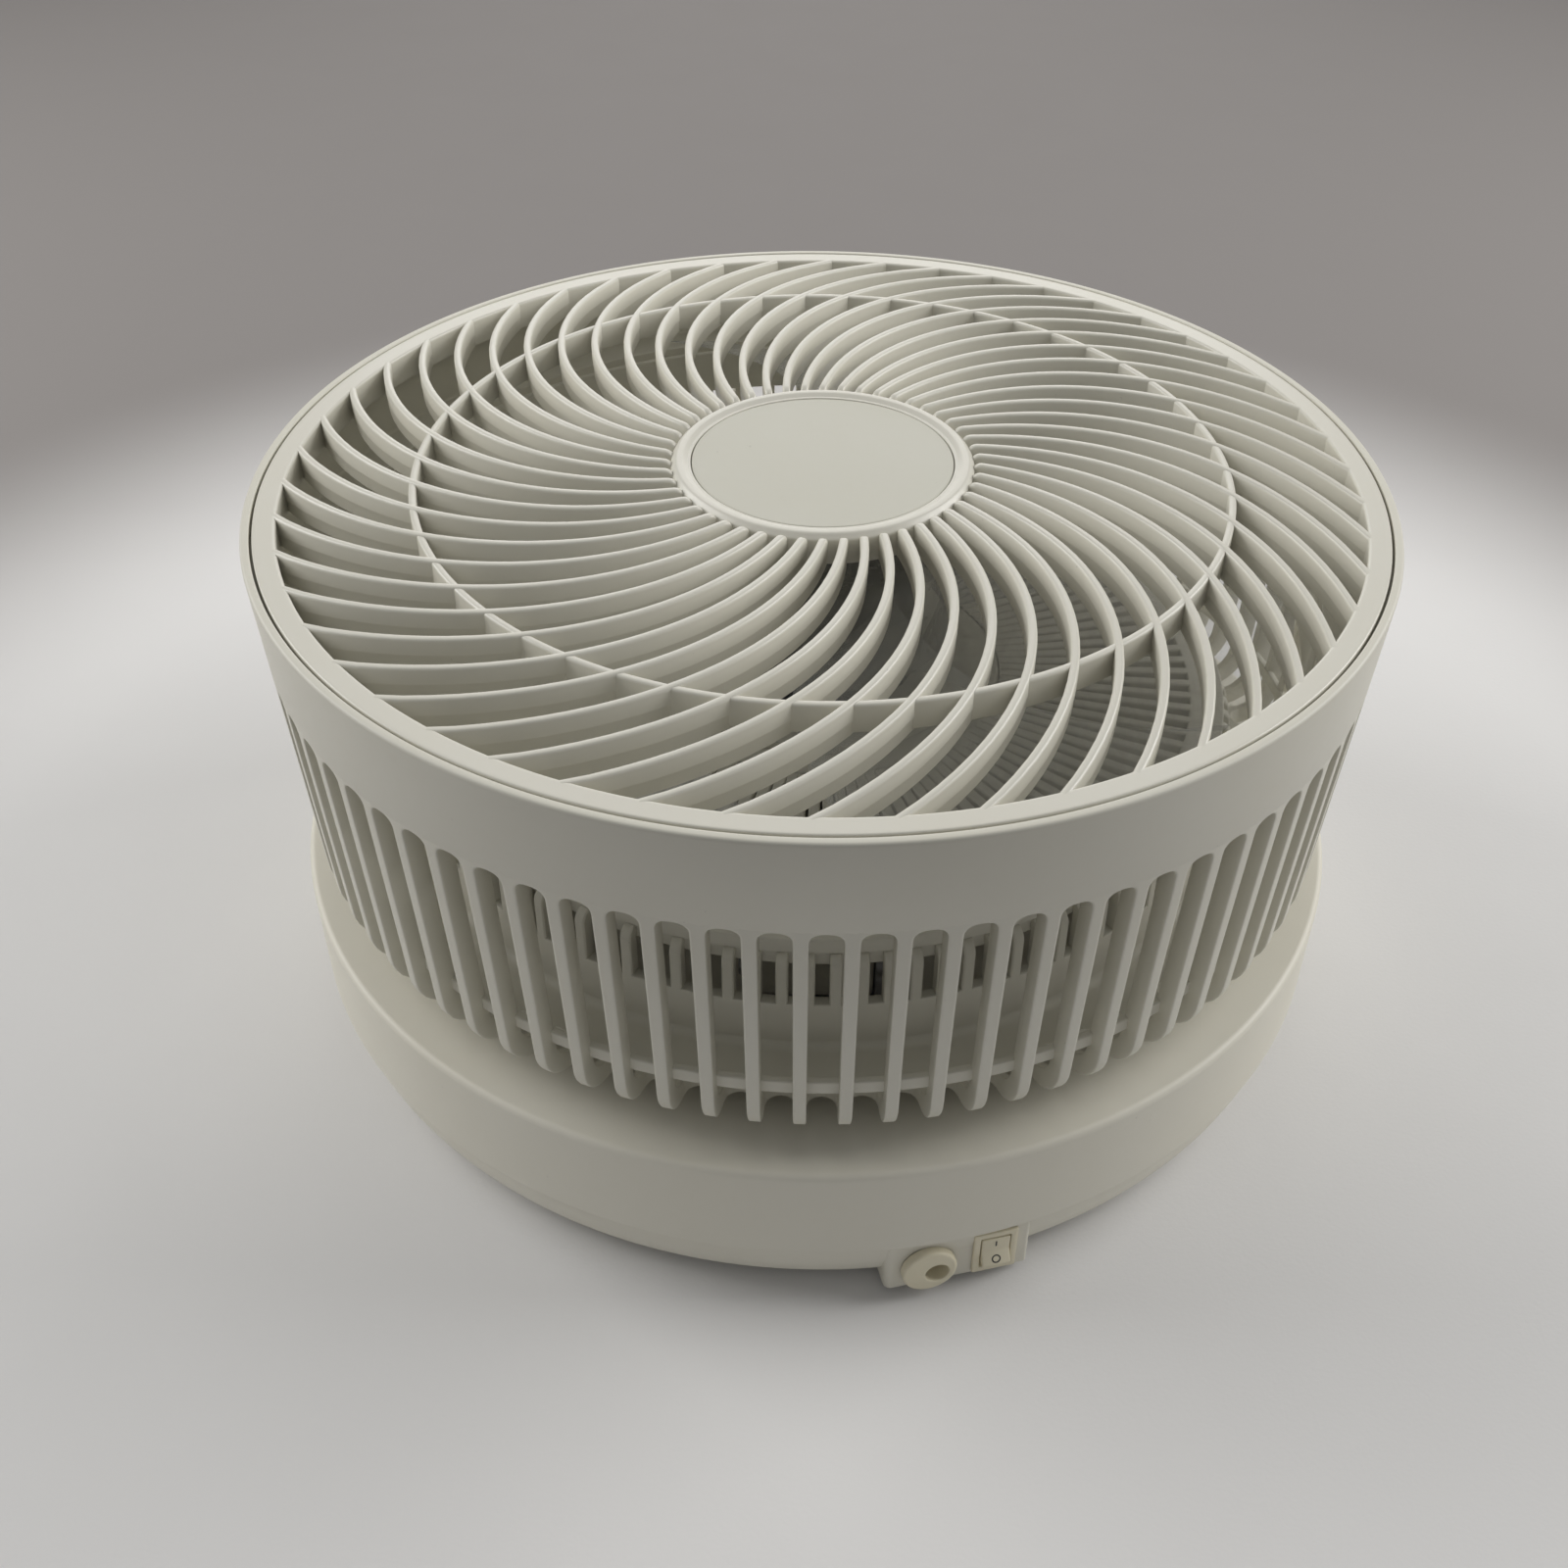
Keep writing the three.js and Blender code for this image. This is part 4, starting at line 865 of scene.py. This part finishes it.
def control_box():
    """A box whose plan shrinks by edge * (1 - cos a) towards its underside, with a wider round corner on
    the left than on the right. Its front is two plates, one with a round opening for the inlet, one with
    a square one for the switch."""
    wide, tight = BOX_CORNERS
    plan = rounded([(BOX_HALF, -BOX_BACK, 0), (-BOX_HALF, -BOX_BACK, 0), (-BOX_HALF, -BOX_FACE, wide),
                    (BOX_HALF, -BOX_FACE, tight)], steps=7, support=0)
    a = np.linspace(math.pi / 2, 0, 5)
    inset = np.r_[BOX_EDGE * (1 - np.cos(a)), 0, 0]
    z = np.r_[PAN_BOTTOM + BOX_EDGE * (1 - np.sin(a)), BOX_MIDDLE[2], SEAM]
    shrink = 1 - inset[:, None, None] / np.array([BOX_HALF, BOX_FACE - BOX_BACK])
    centre = np.array([0, -BOX_BACK])
    xy = centre + (plan - centre) * shrink
    points = points_of(xy[..., 0], xy[..., 1], z[:, None])
    # Above the rounded lower edge the flat front is left to the plates
    front = np.argmin(np.hypot(plan[:, 0] + BOX_HALF - wide, plan[:, 1] + BOX_FACE))
    keep = np.ones((len(z) - 1, len(plan)), bool)
    keep[len(a) - 1:, front] = False
    shell = grid(points, around=True, keep=keep)
    floor = grid(np.stack([points[0], points[0] * [0, 0, 1] + BOX_MIDDLE * [1, 1, 0]]), around=True)
    low, high = PAN_BOTTOM + BOX_EDGE, SEAM
    left = (wide - BOX_HALF, BOX_SPLIT, low, high)
    angles = ray_angles(SOCKET_PLACE, left)
    hole = np.array(SOCKET_PLACE) + (SLEEVE_RADIUS + SLEEVE_GAP) * points_of(np.cos(angles), np.sin(angles))
    plate_a = plate_with_opening(on_rectangle(angles, SOCKET_PLACE, *left), hole)
    right = (BOX_SPLIT, BOX_HALF - tight, low, high)
    (x, z), (half_x, half_z) = SWITCH, (h - SWITCH_LAP for h in SWITCH_HALF)
    gap = (x - half_x, x + half_x, z - half_z, z + half_z)
    angles = ray_angles(SWITCH, right, gap)
    plate_b = plate_with_opening(*(on_rectangle(angles, SWITCH, *edges) for edges in (right, gap)))
    return moved(away_from(together(shell, floor, plate_a, plate_b), BOX_MIDDLE), AT_BOX)


piece("cover_shell", cover(), "base", "white_plastic", "base_cover", finish="base_plastic")
piece("pan_shell", together(pan(), control_box()), "base", "white_plastic", "base_pan", finish="base_plastic")


# Base: inlet and switch

def on_box_face(part, place):
    """Carries a piece made round the Z axis, its front towards +Z, to a place on the box's face."""
    return moved(part, AT_BOX @ Matrix.Translation((place[0], -BOX_FACE, place[1])) @ Z_TO_MINUS_Y)


def lofted(circles):
    """Circles of (x, y, radius, height), joined in order: each may be out of line with the last."""
    x, y, radius, height = np.array(circles, float).T[..., None]
    a = np.arange(72) * 2 * math.pi / 72
    return outward(*grid(points_of(x + radius * np.cos(a), y + radius * np.sin(a), height), around=True))


def inlet():
    """A thick disc round an eccentric socket. The radii and heights of its rim and of the socket's
    mouth come from quarter circles, r - e (1 - cos a) and h - e (1 - sin a)."""
    u, v = SOCKET
    sleeve, back, seat, front = SLEEVE_RADIUS, -11.7, 0.3, 3.1
    rim, mouth, floor, beside = 0.8, 0.4, -5.9, 0.3
    quarter = np.linspace(0, math.pi / 2, 5)
    return lofted([
        (u, v, 0, back), (u, v, sleeve - 0.4, back), (u, v, sleeve, back + 0.4), (u, v, sleeve, seat),
        (0, 0, INLET_RADIUS - 0.15, seat), (0, 0, INLET_RADIUS, seat + 0.2),
        (0, 0, INLET_RADIUS, front - rim - beside),
        *((0, 0, INLET_RADIUS - rim * (1 - math.cos(a)), front - rim * (1 - math.sin(a))) for a in quarter),
        (0, 0, INLET_RADIUS - rim - beside, front), (u, v, SOCKET_RADIUS + mouth + beside, front),
        *((u, v, SOCKET_RADIUS + mouth * (1 - math.sin(a)), front - mouth * (1 - math.cos(a)))
          for a in quarter),
        (u, v, SOCKET_RADIUS, front - mouth - beside), (u, v, SOCKET_RADIUS, floor), (u, v, 0, floor)])


def rounded_frame(rings):
    """A ring round an opening: rounded rectangles of (half width, half height, corner, height above the
    face), joined in order and closed on themselves."""
    outlines = [points_of(*section(-x, x, -z, z, corner, steps=4, support=0).T, height)
                for x, z, corner, height in rings]
    return outward(*grid(np.stack(outlines), around=True, closed=True))


def bezel():
    """The switch's frame: up its outer side, round its front rim, and down into the pocket. Each ring is
    the frame's own outline, less an inset, or the pocket's, and more, at a corner radius and a height."""
    (w, h), (pw, ph) = SWITCH_HALF, POCKET_HALF
    outer = [(w - inset, h - inset, 0.5, z) for inset, z in ((0, 0.25), (0, 0.75), (0.12, 1.08), (0.4, 1.2))]
    pocket = [(pw + more, ph + more, corner, z) for more, corner, z in (
        (0.5, 0.5, 1.2), (0.12, 0.4, 1.05), (0, 0.4, 0.7), (0, 0.4, POCKET_BACK))]
    tucked = SWITCH_LAP + 0.15
    sleeve = [(w - tucked, h - tucked, 0.4, z) for z in (POCKET_BACK, 0.25)]
    return rounded_frame(outer + pocket + sleeve)


LEAN = np.array(Matrix.Rotation(ROCKER_LEAN, 2))  # turns (y, z) rows
AT_PIVOT = AT_BOX @ Matrix.Translation((SWITCH[0], ROCKER_PIVOT - BOX_FACE, SWITCH[1]))


def rocker():
    """The rocker's outline from the side: two flat halves that meet in a shallow valley, with its back
    behind the pivot, leaning so that the upper half is in and the lower half out."""
    half_back = ROCKER_REACH * 0.75
    side = rounded([(-ROCKER_NOSE, ROCKER_REACH, 0.5), (-ROCKER_VALLEY, 0, 1.2),
                    (-ROCKER_NOSE, -ROCKER_REACH, 0.5), (ROCKER_BACK, -half_back, 0.5),
                    (ROCKER_BACK, half_back, 0.5)], steps=4, support=0.2)
    return moved(slab(side @ LEAN, POCKET_HALF[0] - 0.3, 0.35), AT_PIVOT)


def mark_place(along):
    """Where a point of a rocker half's face is, and how it is turned: along its slope from the valley."""
    slope = math.atan2(ROCKER_NOSE - ROCKER_VALLEY, ROCKER_REACH)
    tilt = slope + ROCKER_LEAN if along < 0 else ROCKER_LEAN - slope
    y, z = np.array([-ROCKER_VALLEY - abs(along) * math.sin(slope), along * math.cos(slope)]) @ LEAN
    return AT_PIVOT @ Matrix.Translation((0, y, z)) @ Matrix.Rotation(math.pi / 2 - tilt, 4, "X")


piece("inlet_boss", on_box_face(inlet(), INLET), "base", "cream_plastic", "power_inlet")
pin = rounded([(0, -1.2, 0), (0.8, -1.2, 0.5), (0.8, -6.1, 0), (0, -6.1, 0)])
piece("inlet_pin", on_box_face(turned(pin, 24), SOCKET_PLACE), "base", "steel")
piece("switch_bezel", on_box_face(bezel(), SWITCH), "base", "cream_plastic", "switch_frame")
piece("rocker_cap", rocker(), "switch", "cream_plastic", "switch_rocker")
ring_mark = turned(section(0.95, 1.35, -0.1, 0.04, 0), 40)
bar_mark = rounded_frame([(0.22, 1.1, 0.1, -0.1), (0.22, 1.1, 0.1, 0.05), (0.01, 0.9, 0.005, 0.05),
                          (0.01, 0.9, 0.005, -0.1)])
piece("mark_off", moved(ring_mark, mark_place(-MARK_AT)), "switch", "dark_plastic", finish="ink")
piece("mark_on", moved(bar_mark, mark_place(MARK_AT)), "switch", "dark_plastic", finish="ink")


# Base: turntable, buttons and feet

def post(profile, facets, low, high):
    """An open profile carried round the upright line through the middle of a box."""
    x, y, _ = (low + high) / 2
    return moved(turned(profile, facets), Matrix.Translation((x, y, 0)))


spigot_in, spigot_out, spigot_end = SPIGOT
table_under = TURNTABLE_TOP - TURNTABLE_WALL
table = rounded([
    (0, TURNTABLE_TOP, 0), (TURNTABLE_RADIUS, TURNTABLE_TOP, 1.2), (TURNTABLE_RADIUS, table_under, 0.6),
    (spigot_out, table_under, 0.8), (spigot_out, spigot_end, 0.6), (spigot_in, spigot_end, 0.6),
    (spigot_in, table_under, 0.6), (0, table_under, 0)], steps=4)
piece("turntable_disc", turned(table, 240), "turntable", "white_plastic", "turntable", finish="base_plastic")

for letter, node in zip("abcd", ["button_1", "button_2", "button_3", "button_4"]):
    low, high = extent(node)
    dish, deep = BUTTON_DISH
    flange_low, flange_top = BUTTON_FLANGE
    flange = (high[0] - low[0]) / 2
    profile = rounded([
        (0, high[2] - deep, 0), (dish, high[2], 1.2), (BUTTON_RADIUS, high[2], 0.6),
        (BUTTON_RADIUS, flange_top, 0.2), (flange, flange_top, 0.3), (flange, flange_low, 0.3),
        (BUTTON_RADIUS, flange_low, 0.2), (BUTTON_RADIUS, low[2], 0.3), (0, low[2], 0)], steps=4)
    piece("key_" + letter, post(profile, 64, low, high), "button_" + letter, "button_plastic", node)

for node in ["foot_1", "foot_2", "foot_3", "foot_4"]:
    pad = rounded([(0, 0, 0), (PAD_RADIUS, 0, 0.7), (PAD_RADIUS, PAD_TOP, 0.3), (0, PAD_TOP, 0)])
    piece("pad_" + node[-1], post(pad, 48, *extent(node)), "base", "rubber_feet", node)


# Pole: tubes, collars and hinge blocks

def along_pole(profile):
    """A profile of (radius, distance along Y) carried round the pole's own line."""
    return moved(turned(profile, 72), Matrix.Translation((0, 0, POLE_HEIGHT)) @ Z_TO_Y)


STAGES = [("outer_tube", "pole", "outer_collar"), ("second_tube", "second_stage", "second_collar"),
          ("third_tube", "third_stage", "third_collar"), ("inner_tube", "top_stage", None)]
for number, (node, body, collar) in enumerate(STAGES):
    outer = TUBE_RADIUS - number * TUBE_STEP
    inner = outer - TUBE_WALL
    (_, start, _), (_, end, _) = extent(node)
    piece("sleeve_" + node, along_pole(section(inner, outer, start, end, 0.3)), body, "pole_tube", node)
    if collar:
        (_, start, _), (_, end, _) = extent(collar)
        ring = section(inner, outer + COLLAR_WALL, start, end, 0.3, 0.6, 1.2, 0.4)
        piece("trim_" + collar, along_pole(ring), body, "dark_plastic", collar)


def arc(y, start, end, z=HINGE_HEIGHT, radius=HINGE_RADIUS, steps=20):
    """Corners along a circle in the (y, z) plane, from one angle to another in degrees."""
    a = np.radians(np.linspace(start, end, steps + 1))
    return [(y + radius * math.cos(t), z + radius * math.sin(t), 0) for t in a]


def bracket(outline, plate, bottom, thick):
    """Two ears either side of a hinge, and the plate that carries them: three slabs with round edges."""
    ears = [slab(outline, EAR_HALF, 0.5, centre=side * EAR_AT) for side in (-1, 1)]
    flat = moved(slab(plate, thick / 2, 0.5, centre=bottom + thick / 2), X_TO_Z)
    return together(*ears, flat)


tube_top, tube_bottom = POLE_HEIGHT + TUBE_RADIUS, POLE_HEIGHT - TUBE_RADIUS
shoe = rounded([(SHOE_FACE, tube_top, 1), (SHOE_FACE - 9, tube_top, 4), *arc(-HINGE_REACH, 150, 300),
                (SHOE_FACE, tube_bottom, 1)])
piece("pole_shoe", slab(shoe, BLOCK_HALF, BLOCK_EDGE, steps=5), "pole", "white_plastic", "pole_foot")
neck_top, neck_bottom = POLE_HEIGHT + NECK_HALF, POLE_HEIGHT - NECK_HALF
neck = rounded([(NECK_FACE, neck_bottom, 1), *arc(HINGE_REACH, -120, 30), (NECK_FACE + 10, neck_top, 4),
                (NECK_FACE, neck_top, 1)])
piece("pole_neck", slab(neck, BLOCK_HALF, BLOCK_EDGE, steps=5), "top_stage", "white_plastic", "neck")

low_ear = rounded([(-HINGE_REACH - 12, 50.4, 0.5), (12 - HINGE_REACH, 50.4, 0.5), *arc(-HINGE_REACH, 0, 180)])
low_plate = section(-107, -83, -PLATE_HALF, PLATE_HALF, 2)
piece("floor_bracket", bracket(low_ear, low_plate, *LOW_PLATE), "turntable", "steel", "pole_bracket")
high_ear = rounded([*arc(HINGE_REACH, 180, 360), (HIGH_PLATE_END, 102, 0.5), (83, 102, 0.5)])
disc_end = math.degrees(math.asin(PLATE_HALF / HIGH_PLATE_RADIUS))
high_plate = rounded([*arc(0, disc_end, 360 - disc_end, 0, HIGH_PLATE_RADIUS, 72),
                      (HIGH_PLATE_END, -PLATE_HALF, 4), (HIGH_PLATE_END, PLATE_HALF, 4)])
piece("head_arm", bracket(high_ear, high_plate, *HIGH_PLATE), "head", "white_plastic", "head_bracket")

# Drawn 24 mm to either side, then shortened to the pins' own half length
pin_profile = rounded([(0, -24, 0), (3.2, -23.8, 0.6), (PIN_RADIUS, -22.6, 0.5), (PIN_RADIUS, 22.6, 0.5),
                       (3.2, 23.8, 0.6), (0, 24, 0)]) * [1, PIN_HALF / 24]
for name, y, body, node in [("low_pin", -HINGE_REACH, "turntable", "base_hinge_pin"),
                            ("high_pin", HINGE_REACH, "head", "head_hinge_pin")]:
    across = Matrix.Translation((0, y, HINGE_HEIGHT)) @ Z_TO_X
    piece(name, moved(turned(pin_profile, 40), across), body, "steel", node)


# Nodes that stay as they are, with their finishes
for part in frame["record"]["subparts"]:
    mesh = frame["nodes"][part["node"]].data
    mesh.materials.clear()
    mesh.materials.append(FINISHES[part["material_slot"]])


# Camera, floor and light, in metres
CAMERA_PLACE = (-0.00187, -0.4733, 0.4385)
CAMERA_DOWN = math.radians(38.79)
CAMERA_ROLL = math.radians(0.848)
CAMERA_LENS = 40.76
CAMERA_SHIFT = (-0.01775, -0.00475)
FLOOR_HALF = 6
# The grey that the floor turns to away from the fan is painted shade, in place of a backdrop wall in shade
FLOOR_PALE, FLOOR_DULL, FLOOR_PAINTED_SHADE = (228, 227, 226), (218, 217, 216), (134, 130, 128)
FLOOR_SHADE_FADE = (0.31, 0.54)
WORLD_LIGHT, WORLD_TINT, WORLD_SEEN = 0.235, (0.97, 0.98, 1.0, 1), (150, 147, 145)
LAMP_TINT = (1.0, 0.99, 0.97)
LAMP_AIM = (0, 0, 0.1)


def camera():
    """The camera at the photograph's place: it looks along +Y and down, rolled by less than a degree."""
    facing = Matrix.Rotation(math.pi / 2 - CAMERA_DOWN, 4, "X") @ Matrix.Rotation(CAMERA_ROLL, 4, "Z")
    data = bpy.data.cameras.new("camera")
    data.lens = CAMERA_LENS
    data.sensor_width = 36
    data.shift_x, data.shift_y = CAMERA_SHIFT
    thing = linked("camera", data)
    thing.matrix_world = Matrix.Translation(CAMERA_PLACE) @ facing
    bpy.context.scene.camera = thing


def ground():
    """A flat pale floor round the fan that darkens to grey away from it, painted shade that stands in for a
    backdrop wall in shade: the share of grey is a smooth step over the distance from the middle."""
    e = FLOOR_HALF
    mesh = bpy.data.meshes.new("ground")
    mesh.from_pydata([(-e, -e, 0), (e, -e, 0), (e, e, 0), (-e, e, 0)], [], [(0, 1, 2, 3)])
    f = Finish("ground paper")
    away = f.node("ShaderNodeVectorMath", {"operation": "LENGTH"}, f.place, output="Value") * MM
    # Painted shade: the floor turns grey over this distance from the middle
    far = f.between(away, *FLOOR_SHADE_FADE, interpolation_type="SMOOTHSTEP")
    tone = f.mix(far, f.mix(f.noise(160, 3), paint(*FLOOR_PALE), paint(*FLOOR_DULL)), paint(*FLOOR_PAINTED_SHADE))
    mesh.materials.append(f.done(tone, 0.8 + f.noise(60) * 0.1, f.noise(1.5, 3), 0.05))
    thing = linked("ground", mesh)


def surroundings():
    """An even soft light from all round. The camera, gloss and clear parts see it as a plain grey."""
    world = bpy.data.worlds.new("studio")
    world.use_nodes = True
    tree = world.node_tree
    light = tree.nodes["Background"]
    light.inputs["Color"].default_value = WORLD_TINT
    light.inputs["Strength"].default_value = WORLD_LIGHT
    kinds = ("Background", "LightPath", "Math", "Math", "MixShader")
    seen, paths, either, third, mix = (tree.nodes.new("ShaderNode" + kind) for kind in kinds)
    seen.inputs["Color"].default_value = paint(*WORLD_SEEN)
    either.operation = third.operation = "MAXIMUM"
    for start, end in ((paths.outputs["Is Camera Ray"], either.inputs[0]),
                       (paths.outputs["Is Glossy Ray"], either.inputs[1]),
                       (either.outputs[0], third.inputs[0]),
                       (paths.outputs["Is Transmission Ray"], third.inputs[1]),
                       (third.outputs[0], mix.inputs[0]), (light.outputs[0], mix.inputs[1]),
                       (seen.outputs[0], mix.inputs[2]),
                       (mix.outputs[0], tree.nodes["World Output"].inputs[0])):
        tree.links.new(start, end)
    bpy.context.scene.world = world


def lamp(name, place, size, power):
    """A square soft light aimed at the fan."""
    data = bpy.data.lights.new(name, "AREA")
    data.size = size
    data.energy = power
    data.color = LAMP_TINT
    facing = (Vector(LAMP_AIM) - Vector(place)).to_track_quat("-Z", "Y")
    thing = linked(name, data)
    thing.matrix_world = Matrix.Translation(place) @ facing.to_matrix().to_4x4()


camera()
ground()
surroundings()
lamp("left light", (-1.3, 0.3, 0.85), 1.0, 15.5)
lamp("right light", (1.3, 0.3, 0.85), 1.0, 17)
lamp("back light", (0, 1.5, 0.75), 1.1, 5)
bpy.context.scene.view_settings.view_transform = "Standard"
